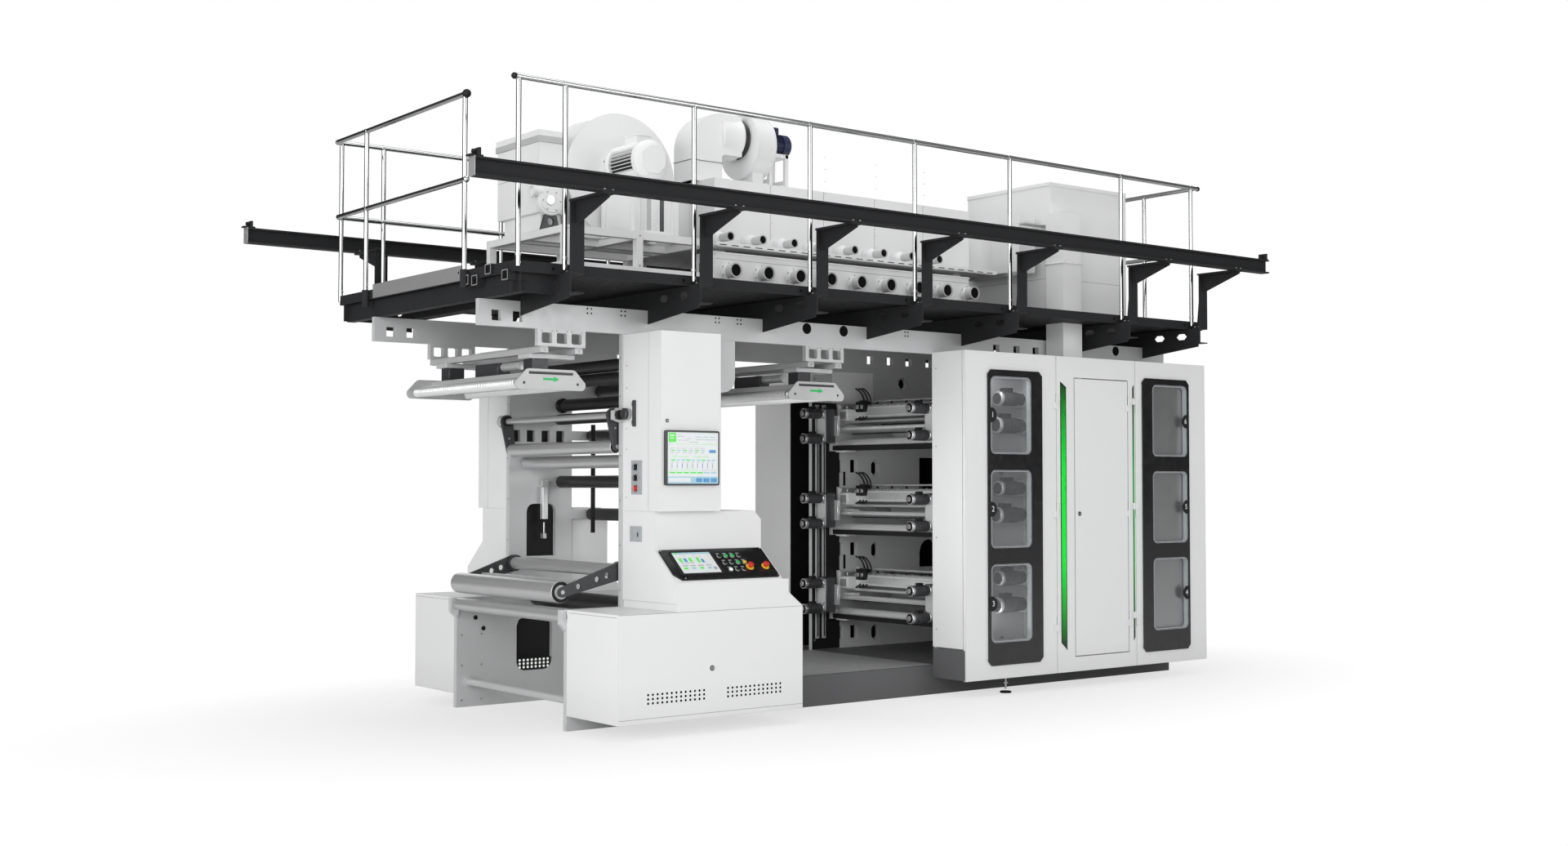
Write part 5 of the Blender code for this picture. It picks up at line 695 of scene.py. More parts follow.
def beam_fittings():
    piece = Piece("beam_fittings", slot="machined_steel")
    for piece.side in (NEAR, FAR):
        for x, dx, z in product((0.161, 0.426, 1.205, 1.395, 2.986, 3.750), (-0.015, 0.015), (2.768, 2.738)):
            piece.rod("Y", x + dx, z, 0.0065, HALF, HALF + 0.0012, "dark_hole", 12, 0.0002)
        for x, z in ((2.009, 2.741), (2.359, 2.741), (5.375, 2.739)):
            piece.rod("Y", x, z, 0.036, HALF, HALF + 0.0012, "dark_hole", 32, 0.0002)
            piece.ring("Y", x, z, 0.040, 0.036, HALF, HALF + 0.0020, "matt_black", 32)
        for x, step, dx in product((-0.047, 2.180), (-0.112, 0, 0.112), (-0.038, 0.038)):
            piece.bolt("Y", x + step + dx, 2.604, HALF, 1, 0.0045)


# Walkway, handrails and crane rails

ARMS = [-0.307 + i * 0.980 for i in range(5)] + [4.886, 5.768]
RAIL_Y = HALF + 0.515
CRANE_Y = HALF + 0.950


def ball(piece, x, y, z, radius, key):
    turns = [math.pi * i / 10 for i in range(11)]
    piece.turned("Z", x, y, [(z - radius * math.cos(t), max(0.0005, radius * math.sin(t))) for t in turns], key, 24)


def handrails():
    posts = [-0.666] + [x - 0.030 for x in ARMS]
    ends = (-0.696, 5.830)
    for name, side, heights in (("near_handrail", NEAR, (4.100,)), ("far_handrail", FAR, (3.550, 4.100))):
        piece = Piece(name + "_tubes", "press", [name], "chrome")
        piece.side = side
        for x in posts:
            piece.rod("Z", x, RAIL_Y, 0.0165, 2.935, 4.095, "chrome")
            piece.rod("Z", x, RAIL_Y, 0.0190, 3.000, 3.018, "steel")
            piece.bolt("Y", x, 2.957, RAIL_Y + 0.018, 1, 0.007)
        for z in heights:
            piece.rod("X", RAIL_Y, z, 0.0175, *ends, "chrome")
            for x in posts:
                piece.rod("X", RAIL_Y, z, 0.0192, x - 0.020, x + 0.020, "chrome", 24, 0.003)
        for x in ends:
            ball(piece, x, RAIL_Y, 4.100, 0.0205, "chrome" if side == FAR else "matt_black")
    meet = RAIL_Y - 0.0213
    for name, x, places, start, foot in (("front_handrail", -0.700, (-0.672, 0.800), -0.693, 2.9733),
                                         ("rear_handrail", 5.800, (-0.750, 0.750), -meet, 2.9753)):
        piece = Piece(name + "_tubes", "press", [name], "chrome")
        for y in places:
            piece.rod("Z", x, y, 0.0165, foot, 4.095, "chrome")
            if name == "rear_handrail":
                piece.rod("Z", x, y, 0.045, foot, foot + 0.008, "steel", 28)
                piece.bolts("Z", circle(x, y, 0.034, 4, 45), foot + 0.008, 1, 0.004)
        for z in (3.550, 4.100):
            piece.rod("Y", x, z, 0.0175, start, meet, "chrome")
            for y in places:
                piece.rod("Y", x, z, 0.0192, max(y - 0.020, start + 0.001), y + 0.020, "chrome", 24, 0.003)
        if name == "front_handrail":
            ball(piece, x, start, 4.100, 0.028, "matt_black")
            ball(piece, x, start, 3.550, 0.022, "chrome")


def walkway_fittings():
    piece = Piece("walkway_fittings", slot="charcoal_paint")
    edge, foot = HALF + 0.4973, HALF + 0.575
    for piece.side in (NEAR, FAR):
        for x in ARMS:
            piece.rod("Y", x - 0.100, 2.940, 0.011, edge, edge + 0.001, "dark_hole", 20, 0.0002)
            # bolted foot plate of the crane post, and the clips under the crane rail
            piece.box(x - 0.050, x + 0.050, foot - 0.034, foot + 0.034, 2.9105, 2.922, "charcoal", 0.002)
            piece.bolts("Z", product((x - 0.034, x + 0.034), (foot - 0.020, foot + 0.020)), 2.922, 1, 0.0065)
            piece.bolts("Z", product((x - 0.030, x + 0.030), (CRANE_Y - 0.026, CRANE_Y + 0.026)), 3.377, 1, 0.007)
    toe = -0.6785
    piece.box(toe - 0.002, toe, -0.638, 0.727, 2.912, 3.009, "toe_grey", 0.0008)
    for y in (-0.560, -0.600):
        piece.rod("X", y, 2.965, 0.008, toe - 0.0022, toe - 0.0030, "dark_hole", 12, 0.0002)
    # sockets for a ladder at the front corner: open square tubes with light ends
    for y, z, low in ((-0.690, 2.905, -0.700), (-0.790, 2.895, -0.690), (-0.985, 2.945, -0.700),
                      (-1.200, 2.890, -0.700)):
        rim, bore = rounded(y, z, 0.076, 0.066, 0.006, 2), rounded(y, z, 0.062, 0.052, 0.004, 2)
        piece.plate("X", rim, [bore], low, -0.560, "charcoal")
        piece.plate("X", rim, [bore], low - 0.001, low + 0.001, "toe_grey")
        piece.box(-0.600, -0.560, y - 0.030, y + 0.030, z - 0.025, z + 0.025, "dark_hole", 0)
    # cover strips on the deck, with a raised pattern
    piece = Piece("deck_plates", slot="charcoal_paint")
    top = 2.978
    for i, (y0, y1) in product(range(6), ((-1.262, -1.000), (0.62, 1.262))):
        x0, x1 = ARMS[i] + 0.010, ARMS[i + 1] - 0.010
        piece.box(x0, x1, y0, y1, top - 0.003, top, "deck", 0.001)
        for a, b in product(range(int((x1 - x0) / 0.13)), range(int((y1 - y0) / 0.065))):
            angle = math.pi / 4 if (a + b) % 2 else -math.pi / 4
            bar = (Matrix.Translation((x0 + 0.07 + a * 0.13, y0 + 0.035 + b * 0.065, top))
                   @ Matrix.Rotation(angle, 4, "Z"))
            piece.box(-0.014, 0.014, -0.003, 0.003, -0.0005, 0.0014, "deck", 0.0006, bar)


def crane_fittings():
    piece = Piece("crane_rail_fittings", slot="charcoal_paint")
    for piece.side in (NEAR, FAR):
        piece.box(-1.2120, -1.2095, CRANE_Y - 0.040, CRANE_Y + 0.040, 3.364, 3.478, "satin_roll", 0.0008)
        for x in (-1.180, 6.130):
            piece.box(x - 0.055, x + 0.030, CRANE_Y - 0.028, CRANE_Y + 0.028, 3.4775, 3.489, "matt_black", 0.002)
            piece.rod("X", CRANE_Y, 3.508, 0.014, x - 0.030, x - 0.008, "matt_black", 20)


# Print unit

MIDDLE = 4.640                      # x of the print unit's middle
LEVELS = (0.680, 1.3875, 2.095)     # heights of its stations


def servo(piece, x0, x1, y, z, radius, way):
    """A drive motor along x: finned body, silver end caps, connector on top."""
    length = x1 - x0
    piece.rod("X", y, z, radius * 0.86, x0, x1, "motor_grey", 28)
    for i in range(7):
        x = x0 + length * (0.22 + 0.09 * i)
        piece.rod("X", y, z, radius, x, x + length * 0.035, "motor_grey", 28, 0.0008)
    for a, b in ((x0, x0 + length * 0.14), (x1 - length * 0.14, x1)):
        piece.rod("X", y, z, radius * 0.98, a, b, "steel", 28, 0.003)
    end = x0 if way < 0 else x1
    piece.rod("X", y, z, radius * 0.55, end, end + way * 0.010, "zinc", 6, 0.002)
    piece.box(x0 + length * 0.35, x0 + length * 0.60, y - 0.018, y + 0.018, z + radius * 0.8, z + radius + 0.018,
              "matt_black", 0.003)


WALL = INNER - 0.011 - SEAT     # middle to the outer end of a print station
REACH = WALL - 0.018            # middle to the end of its beams and journals
# Blocks along the station: distance from the middle of the print unit, width, bottom, top, two ends, finish and edge
STATION_BLOCKS = (
    # ink chamber: satin beam with clamp bars, end plates and brackets
    (0.960, 0.100, 0.075, 0.170, -REACH + 0.05, REACH - 0.05, "pale_metal", 0.004),
    (0.955, 0.090, 0.168, 0.185, -REACH + 0.03, REACH - 0.03, "steel", 0.002),
    (0.966, 0.008, 0.100, 0.150, -REACH + 0.08, REACH - 0.08, "bright_steel", 0.001),
    (1.030, 0.090, -0.012, 0.012, 0.590, 0.700, "panel", 0.003),
    (1.120, 0.110, -0.215, -0.199, 0.560, 0.700, "panel", 0.003),
    # valve block
    (1.000, 0.075, 0.125, 0.215, 0.470, 0.580, "matt_black", 0.005),
    (1.010, 0.030, 0.150, 0.185, 0.485, 0.510, "steel", 0.002),
    (1.012, 0.030, 0.150, 0.185, 0.535, 0.560, "steel", 0.002),
    (0.985, 0.045, 0.195, 0.225, 0.500, 0.550, "motor_grey", 0.003),
    # dark splash sheet below the tray
    (1.140, 0.220, -0.198, -0.186, -REACH, REACH, "matt_black", 0.002),
    (1.142, 0.004, -0.198, -0.160, -REACH, REACH, "matt_black", 0.001),
    (0.930, 0.020, -0.060, -0.046, -REACH, REACH, "matt_black", 0.002))
STATION_END_BLOCKS = (
    (0.975, 0.130, 0.060, 0.195, REACH - 0.045, REACH - 0.023, "bright_steel", 0.003),
    (0.990, 0.040, 0.080, 0.130, REACH - 0.056, REACH - 0.012, "matt_black", 0.004),
    (1.070, 0.150, 0.050, 0.150, 0.600, REACH, "panel", 0.005),
    (1.060, 0.130, 0.150, 0.190, 0.620, REACH, "steel", 0.003),
    (1.074, 0.006, 0.070, 0.130, 0.615, REACH - 0.02, "bright_steel", 0.001),
    (1.300, 0.100, -0.140, 0.150, 0.600, WALL - 0.004, "motor_grey", 0.005),
    (1.306, 0.008, -0.125, 0.135, 0.612, WALL - 0.016, "frame", 0.002),
    (1.215, 0.030, -0.080, 0.090, 0.560, 0.640, "aluminium", 0.003))
TRAY = ((1.140, -0.030), (1.060, -0.042), (0.980, -0.050), (0.900, -0.055), (0.820, -0.048), (0.740, -0.036),
        (0.740, -0.028), (0.820, -0.036), (0.900, -0.043), (1.000, -0.032), (1.080, -0.018), (1.140, -0.005))
CARRIER = ((1.210, -0.050), (1.160, -0.050), (1.160, -0.205), (0.900, -0.205), (0.880, -0.060), (0.300, -0.060),
           (0.300, 0.060), (0.540, 0.175), (1.080, 0.200), (1.080, 0.030), (1.210, 0.030))


def print_station(number, level, sign):
    """One station. Its places count outwards from the print unit's middle and up from its level."""
    name = "print_station_%d" % number
    piece = Piece(name + "_dressed", "press", [name], "machined_steel")
    piece.place = (MIDDLE, 0, level)

    def blocks(rows):
        for out, width, low, high, y0, y1, key, bevel in rows:
            piece.box(sign * out, sign * (out - width), y0, y1, low, high, key, bevel)
    blocks(STATION_BLOCKS)
    for i in range(7):
        y = -0.54 + i * 0.18
        piece.rod("Z", sign * 0.945, y, 0.011, 0.185, 0.206, "matt_black", 16, 0.002)
        piece.bolt("Z", sign * 0.885, y, 0.185, 1, 0.006)
    # short hoses at the chamber's end
    turns = [math.pi * k / 10 for k in range(11)]
    for y in (0.480, 0.520, 0.565):
        piece.tube([(sign * (1.010 - 0.10 * math.sin(t)), y, 0.16 - 0.10 * math.cos(t) + 0.02 * t) for t in turns],
                   0.007, "rubber", 10)
    # bright guide rods, and the rolled edge of the drip tray
    for out, up, radius in ((0.985, 0.042, 0.012), (1.040, -0.012, 0.009), (0.870, 0.215, 0.008),
                            (1.136, -0.016, 0.010)):
        piece.rod("Y", sign * out, up, radius, -REACH, REACH, "bright_steel", 20)
    for out, up, radius, key in ((1.080, -0.145, 0.039, "bright_steel"), (0.760, 0.100, 0.070, "satin_roll"),
                                 (0.600, 0.100, 0.080, "rubber"), (0.420, 0.020, 0.110, "bright_steel")):
        roller(piece, sign * out, up, radius, REACH - 0.050, min(0.022, radius * 0.5), REACH, key, None, 48)
    piece.prism("Y", [(sign * out, up) for out, up in TRAY], -REACH, REACH, "pale_metal")
    for piece.side in (NEAR, FAR):
        piece.prism("Y", [(sign * out, up) for out, up in CARRIER], WALL - 0.022, WALL, "frame")
        blocks(STATION_END_BLOCKS)
        piece.bolts("X", ((0.625, -0.060), (0.625, 0.065)), sign * 1.306, sign, 0.006)
        for out, up in ((1.185, -0.010), (1.030, -0.120), (0.970, -0.120), (0.400, 0.045), (0.640, 0.020),
                        (0.520, 0.020)):
            piece.bolt("Y", sign * out, up, WALL - 0.022, -1, 0.008)
        for out, up, radius in ((0.760, 0.100, 0.044), (0.600, 0.100, 0.046), (0.420, 0.020, 0.050)):
            piece.rod("Y", sign * out, up, radius, WALL - 0.022, WALL - 0.040, "steel", 32, 0.003)
        for up in (-0.105, 0.105):
            servo(piece, *sorted((sign * 1.510, sign * 1.295)), 0.655, up, 0.043, sign)


def print_stations():
    for number, level in enumerate(reversed(LEVELS), 1):
        print_station(number, level, -1)
        print_station(7 - number, level, 1)


def print_frame_fittings():
    piece = Piece("print_frame_fittings", slot="frame_grey")
    rail = INNER - 0.011
    for piece.side in (NEAR, FAR):
        for sign in (-1, 1):
            for out in (1.288, 1.217):
                x = MIDDLE + sign * out
                piece.box(x - 0.006, x + 0.006, rail, rail - 0.007, 0.330, 2.270, "gunmetal", 0.001)
                piece.bolts("Y", [(x + 0.013, 0.36 + i * 0.145) for i in range(14)], rail, -1, 0.0035)
            piece.box(MIDDLE + sign * 1.12, MIDDLE + sign * 0.66, INNER, INNER - 0.003, 2.300, 2.570, "panel", 0.001)
            piece.ring("Y", MIDDLE + sign * 0.314, 2.492, 0.060, 0.048, INNER, INNER - 0.004, "steel", 28)
            slot = MIDDLE + sign * 0.985
            piece.boxes("dark_hole", 0.0005, *[(slot - 0.012, slot + 0.012, INNER, INNER - 0.002, level + 0.210,
                                                level + 0.330) for level in LEVELS])
        # painted shade: thin dark sheets on the frames' inner faces darken the ends of the print bay
        piece.boxes("matt_black", 0, *[(x0, x1, INNER - 0.0008, INNER, 0.222, 2.300)
                                       for x0, x1 in ((3.300, 3.600), (5.680, 6.040))])
        piece.bolts("Y", product((3.33, 6.01), (0.30, 0.85, 1.50, 2.20, 2.50)), INNER, -1, 0.007)
    piece = Piece("cabinet_end_plates", slot="charcoal_paint")
    # painted shade: a thin near-black sheet on the far cabinet's inner wall darkens the inside of the print unit
    piece.box(3.304, 5.950, 1.0421, 1.0432, 0.2235, 2.600, "dark_hole", 0)
    piece.box(3.2488, 3.2498, -1.140, -0.790, 0.130, 0.356, "floor_plate", 0)
    # drive motors outside the frames, seen through the windows
    piece = Piece("side_drives", slot="machined_steel")
    for level, (sign, start), (up, length, radius) in product(
            LEVELS, ((-1, 0.520), (1, 0.720)), ((0.190, 0.270, 0.056), (-0.020, 0.290, 0.062))):
        piece.place = (MIDDLE + sign * start, -(HALF + 0.105), level + up)
        outer = sign * length
        x0, x1 = sorted((0, outer))
        piece.rod("X", 0, 0, radius * 0.88, x0, x1, "motor_grey", 30)
        for i in range(9):
            x = x0 + 0.03 + i * (x1 - x0 - 0.08) / 9
            piece.rod("X", 0, 0, radius, x, x + 0.008, "motor_grey", 30, 0.0008)
        piece.rod("X", 0, 0, radius * 1.02, outer - sign * 0.034, outer, "aluminium", 30, 0.006)
        piece.rod("X", 0, 0, radius * 0.80, outer - sign * 0.004, outer + sign * 0.003, "motor_grey", 30, 0.002)
        piece.box(x0 + 0.06, x0 + 0.15, -0.032, 0.032, radius * 0.85, radius + 0.030, "matt_black", 0.004)
        piece.box(-sign * 0.012, 0, -0.070, 0.105 - SEAT, -0.066, 0.066, "frame", 0.003)
        piece.box(-sign * 0.095, -sign * 0.012, -0.045, 0.060, -0.050, 0.050, "steel", 0.005)
    piece.place = (MIDDLE, 0, 0)
    piece.boxes("frame", 0.002, *[(sign * 0.43, sign * 1.10, -(HALF + 0.010), -HALF, level + 0.105, level + 0.120)
                                  for level, sign in product(LEVELS, (-1, 1))])


# Housing of the print unit

DOOR_FACE = -(HALF + 0.366)
WINDOW_CORNERS = {0.0: 0.040, -0.006: 0.036, 0.006: 0.046, 0.003: 0.043}     # by how far the outline is spread


def digit(text):
    """Points and faces of a number, lying in x and z."""
    curve = bpy.data.curves.new("digit", "FONT")
    curve.body, curve.size, curve.extrude = text, 0.060, 0.0004
    curve.align_x = curve.align_y = "CENTER"
    holder = bpy.data.objects.new("digit", curve)
    bpy.context.scene.collection.objects.link(holder)
    bpy.context.view_layer.update()
    mesh = bpy.data.meshes.new_from_object(holder.evaluated_get(bpy.context.evaluated_depsgraph_get()))
    bpy.data.objects.remove(holder, do_unlink=True)
    points = [(v.co.x, -v.co.z, v.co.y) for v in mesh.vertices]
    faces = [tuple(p.vertices) for p in mesh.polygons]
    bpy.data.meshes.remove(mesh)
    return points, faces


def door_dressing():
    face = DOOR_FACE
    for body, left, window, tabs, tab_x, nudge in (
            ("left_window_door", 3.478, 3.7265, "321", 3.511, 0.014),
            ("right_window_door", 5.269, 5.6135, "456", 5.829, -0.014)):
        piece = Piece(body + "_bezel", body, slot="black_gloss")

        def opening(z, spread=0.0):
            return rounded(window, z, 0.431 + 2 * spread, 0.584 + 2 * spread, WINDOW_CORNERS[spread], 6)
        heights = [0.699 + i * 0.720 for i in range(3)]
        piece.plate("Y", rounded(left + 0.2965, 1.358, 0.597, 2.260, 0.036, 1), [opening(z) for z in heights],
                    face - 0.0135, face - 0.004, "black")
        for z, number in zip(heights, tabs):
            piece.plate("Y", opening(z), [opening(z, -0.006)], face - 0.0120, face + 0.026, "screen_grey")
            piece.plate("Y", opening(z, 0.006), [opening(z, 0.003)], face - 0.0139, face - 0.0130, "screen_grey")
            tab = [(min(max(a, left + 0.001), left + 0.592), b) for a, b in circle(tab_x, z, 0.057, 40)]
            piece.prism("Y", tab, face - 0.0125, face - 0.0160, "matt_black")
            piece.add(*digit(number), "screen_white", Matrix.Translation((tab_x + nudge, face - 0.0163, z)))
    piece = Piece("centre_lights", slot="black_gloss")
    for outline, rise, sunk, key in (
            (((4.291, 2.424), (4.291, 0.360), (4.358, 0.300), (4.358, 2.380)), 0.0020, 0.0, "black"),
            (((4.300, 2.405), (4.300, 0.375), (4.349, 0.330), (4.349, 2.372)), 0.0030, 0.001, "led"),
            (((5.154, 2.400), (5.154, 0.330), (5.172, 0.360), (5.172, 2.430)), 0.0020, 0.0, "black"),
            (((5.159, 2.390), (5.159, 0.350), (5.167, 0.365), (5.167, 2.410)), 0.0030, 0.001, "led_thin")):
        piece.prism("Y", outline, face - rise, face - sunk, key)
    piece = Piece("service_door_edge", "service_door")
    piece.boxes("seam", 0, *[(x0, x1, face - 0.0004, face + 0.001, z0, z1) for x0, x1, z0, z1 in (
        (4.4555, 4.4575, 0.246, 2.454), (5.0915, 5.0935, 0.246, 2.454), (4.4555, 5.0935, 0.246, 0.248),
        (4.4555, 5.0935, 2.452, 2.454))])
    piece.rod("Y", 4.505, 1.375, 0.0175, face - 0.0055, face - 0.0085, "matt_black", 28, 0.001)
    piece.rod("Y", 4.505, 1.375, 0.009, face - 0.008, face - 0.0105, "zinc", 24, 0.001)
    # small screws on the cabinet's roof and front edge
    piece = Piece("cabinet_screws", slot="machined_steel")
    piece.bolts("Z", [(x, -1.000) for x in (3.40, 3.95, 4.50, 5.05, 5.60)], 2.625, 1, 0.006)
    piece.bolts("X", [(-0.830, z) for z in (0.50, 1.20, 1.90, 2.50)], 3.250, -1, 0.005)


def far_cabinet_fittings():
    """Door joints, hinges, locks and vents on the far side and small bolts on the roof."""
    piece = Piece("far_cabinet_fittings", slot="black_gloss")
    face = HALF + 0.747
    low, rise = face - 0.001, face + 0.0005
    piece.boxes("seam", 0, *[(x, x + 0.0025, low, rise, 0.300, 2.600) for x in (4.220, 5.120)],
                *[(3.330, 5.980, low, rise, z, z + 0.0025) for z in (0.300, 2.598)])
    for x0, x1 in ((3.330, 4.220), (4.222, 5.120), (5.122, 5.980)):
        piece.rod("Y", x1 - 0.060, 1.400, 0.018, face, face + 0.004, "matt_black", 28, 0.001)
        piece.rod("Y", x1 - 0.060, 1.400, 0.010, face, face + 0.007, "zinc", 24, 0.001)
        for z in (0.520, 1.400, 2.380):
            piece.rod("Z", x0 + 0.012, face + 0.006, 0.007, z - 0.045, z + 0.045, "zinc", 16, 0.001)
            piece.box(x0 + 0.014, x0 + 0.044, face, face + 0.003, z - 0.040, z + 0.040, "zinc", 0.001)
        middle = (x0 + x1) / 2
        for i, k in product(range(12), range(4)):
            piece.rod("Y", middle - 0.190 + i * 0.0345, 0.370 + k * 0.030, 0.009, low, face + 0.0006, "dark_hole", 12,
                      0.0002)
        piece.box(middle - 0.110, middle + 0.110, face, face + 0.006, 1.960, 2.120, "screen_grey", 0.003)
        piece.box(middle - 0.096, middle + 0.096, face + 0.005, face + 0.0065, 1.974, 2.106, "gunmetal", 0.001)
    piece.bolts("Z", product((3.40, 4.00, 4.67, 5.30, 5.90), (1.110, 1.470)), 2.620, 1, 0.006)


def platform_fittings():
    piece = Piece("platform_fittings", slot="charcoal_paint")
    top = 0.220
    for x0 in (1.520, 2.110, 2.700):
        # painted light: the top plates take the lighter copy of the floor plate
        piece.box(x0, x0 + 0.580, -0.740, 0.740, top, top + 0.003, "tread_painted_light", 0.001)
        for dx, y in product((0.03, 0.55), (-0.70, 0.70)):
            piece.rod("Z", x0 + dx, y, 0.008, top + 0.002, top + 0.0045, "zinc", 16, 0.0006)
    piece.rod("Z", 2.250, -0.350, 0.030, top + 0.003, top + 0.006, "matt_black", 28, 0.001)
    piece.boxes("seam", 0, *[(x, x + 0.002, -HALF - 0.0005, -HALF + 0.001, 0.010, 0.210) for x in (1.70, 2.35, 3.00)])
    # levelling foot and skid at the operator side
    piece.place = (3.760, -1.060, 0)
    piece.rod("Z", 0, 0, 0.008, 0.030, 0.150, "zinc", 16)
    piece.rod("Z", 0, 0, 0.045, 0.0, 0.014, "matt_black", 32, 0.004)
    piece.rod("Z", 0, 0, 0.018, 0.070, 0.084, "zinc", 6)
    piece.box(-0.060, 0.060, -0.060, 1.060 - HALF, 0.120, 0.150, "matt_black", 0.003)


# Plant on the roof

def blower():
    """The main blower. x and z count from its shaft, y from its front face."""
    piece = Piece("main_blower_dressed", "press", ["main_blower"])
    piece.place = (0.600, -0.4865, 3.735)
    depth = 0.300
    piece.turned("Y", 0, 0, [(0, 0.390), (0.001, 0.425), (0.006, 0.430), (depth - 0.006, 0.430),
                             (depth - 0.001, 0.425), (depth, 0.390)], "plant", 96)
    for y in (-0.002, depth - 0.010):
        piece.turned("Y", 0, 0, [(y, 0.425), (y + 0.0015, 0.440), (y + 0.0105, 0.440), (y + 0.012, 0.425)], "plant", 96)
    piece.turned("Y", 0, 0.030, [(-0.010, 0.168), (-0.0085, 0.175), (0, 0.175)], "plant", 72)
    piece.bolts("Y", circle(0, 0.030, 0.160, 8, 22.5), -0.010, -1, 0.005)
    piece.turned("Y", 0, 0, [(depth, 0.200), (depth + 0.030, 0.200), (depth + 0.032, 0.230), (depth + 0.040, 0.230),
                             (depth + 0.041, 0.180)], "plant", 64)
    end = 0.650 - SEAT
    piece.boxes("plant", 0.004, (-0.300, 0.300, 0.010, depth - 0.020, 3.290 + SEAT - 3.735, -0.250),
                (0.100, end - 0.010, 0.030, depth - 0.030, -0.380, -0.060))
    piece.boxes("plant", 0.002, (end - 0.050, end - 0.026, 0.010, depth - 0.010, -0.400, -0.040),
                (end - 0.022, end, 0.010, depth - 0.010, -0.400, -0.040))
    piece.box(end - 0.030, end - 0.020, 0.016, depth - 0.016, -0.394, -0.046, "rubber", 0.001)


def blower_motor():
    """The blower's motor. x and z count from its shaft, y from its foot at the blower."""
    piece = Piece("blower_motor_dressed", "press", ["blower_motor"])
    piece.place = (0.600, -0.4885 - SEAT, 3.800)
    front = -0.400
    piece.turned("Y", 0, 0, [(front, 0.070), (front + 0.006, 0.112), (front + 0.030, 0.138), (front + 0.038, 0.1395),
                             (front + 0.070, 0.1395), (front + 0.070, 0.124), (-0.060, 0.124)], "plant", 48)
    piece.turned("Y", 0, 0, [(-0.060, 0.124), (-0.060, 0.1455), (-0.014, 0.1455), (-0.010, 0.140), (0, 0.112)],
                 "plant", 48)
    # an eight-sided end plate on the cowl
    piece.rod("Y", 0, 0, 0.105, front - 0.004, front + 0.010, "plant", 8, 0.004, 0.5)
    for i in range(36):
        spin = Matrix.Rotation(2 * math.pi * i / 36, 4, "Y")
        piece.box(-0.0024, 0.0024, front + 0.072, -0.062, 0.118, 0.1435, "plant", 0.0008, spin)
    piece.turned("Y", 0, 0, [(front + 0.071, 0.1255), (-0.061, 0.1255)], "matt_black", 36)
    for i in range(4):
        spin = Matrix.Rotation(math.pi / 4 + i * math.pi / 2, 4, "Y")
        piece.box(-0.030, 0.030, front + 0.066, -0.055, 0.110, 0.1465, "plant", 0.004, spin)
    piece.box(-0.110, 0.110, front + 0.090, -0.080, -0.150, -0.110, "plant", 0.004)
    piece.box(-0.060, 0.060, -0.270, -0.130, 0.105, 0.185, "plant", 0.006)
    piece.box(-0.064, 0.064, -0.274, -0.126, 0.178, 0.189, "plant", 0.003)


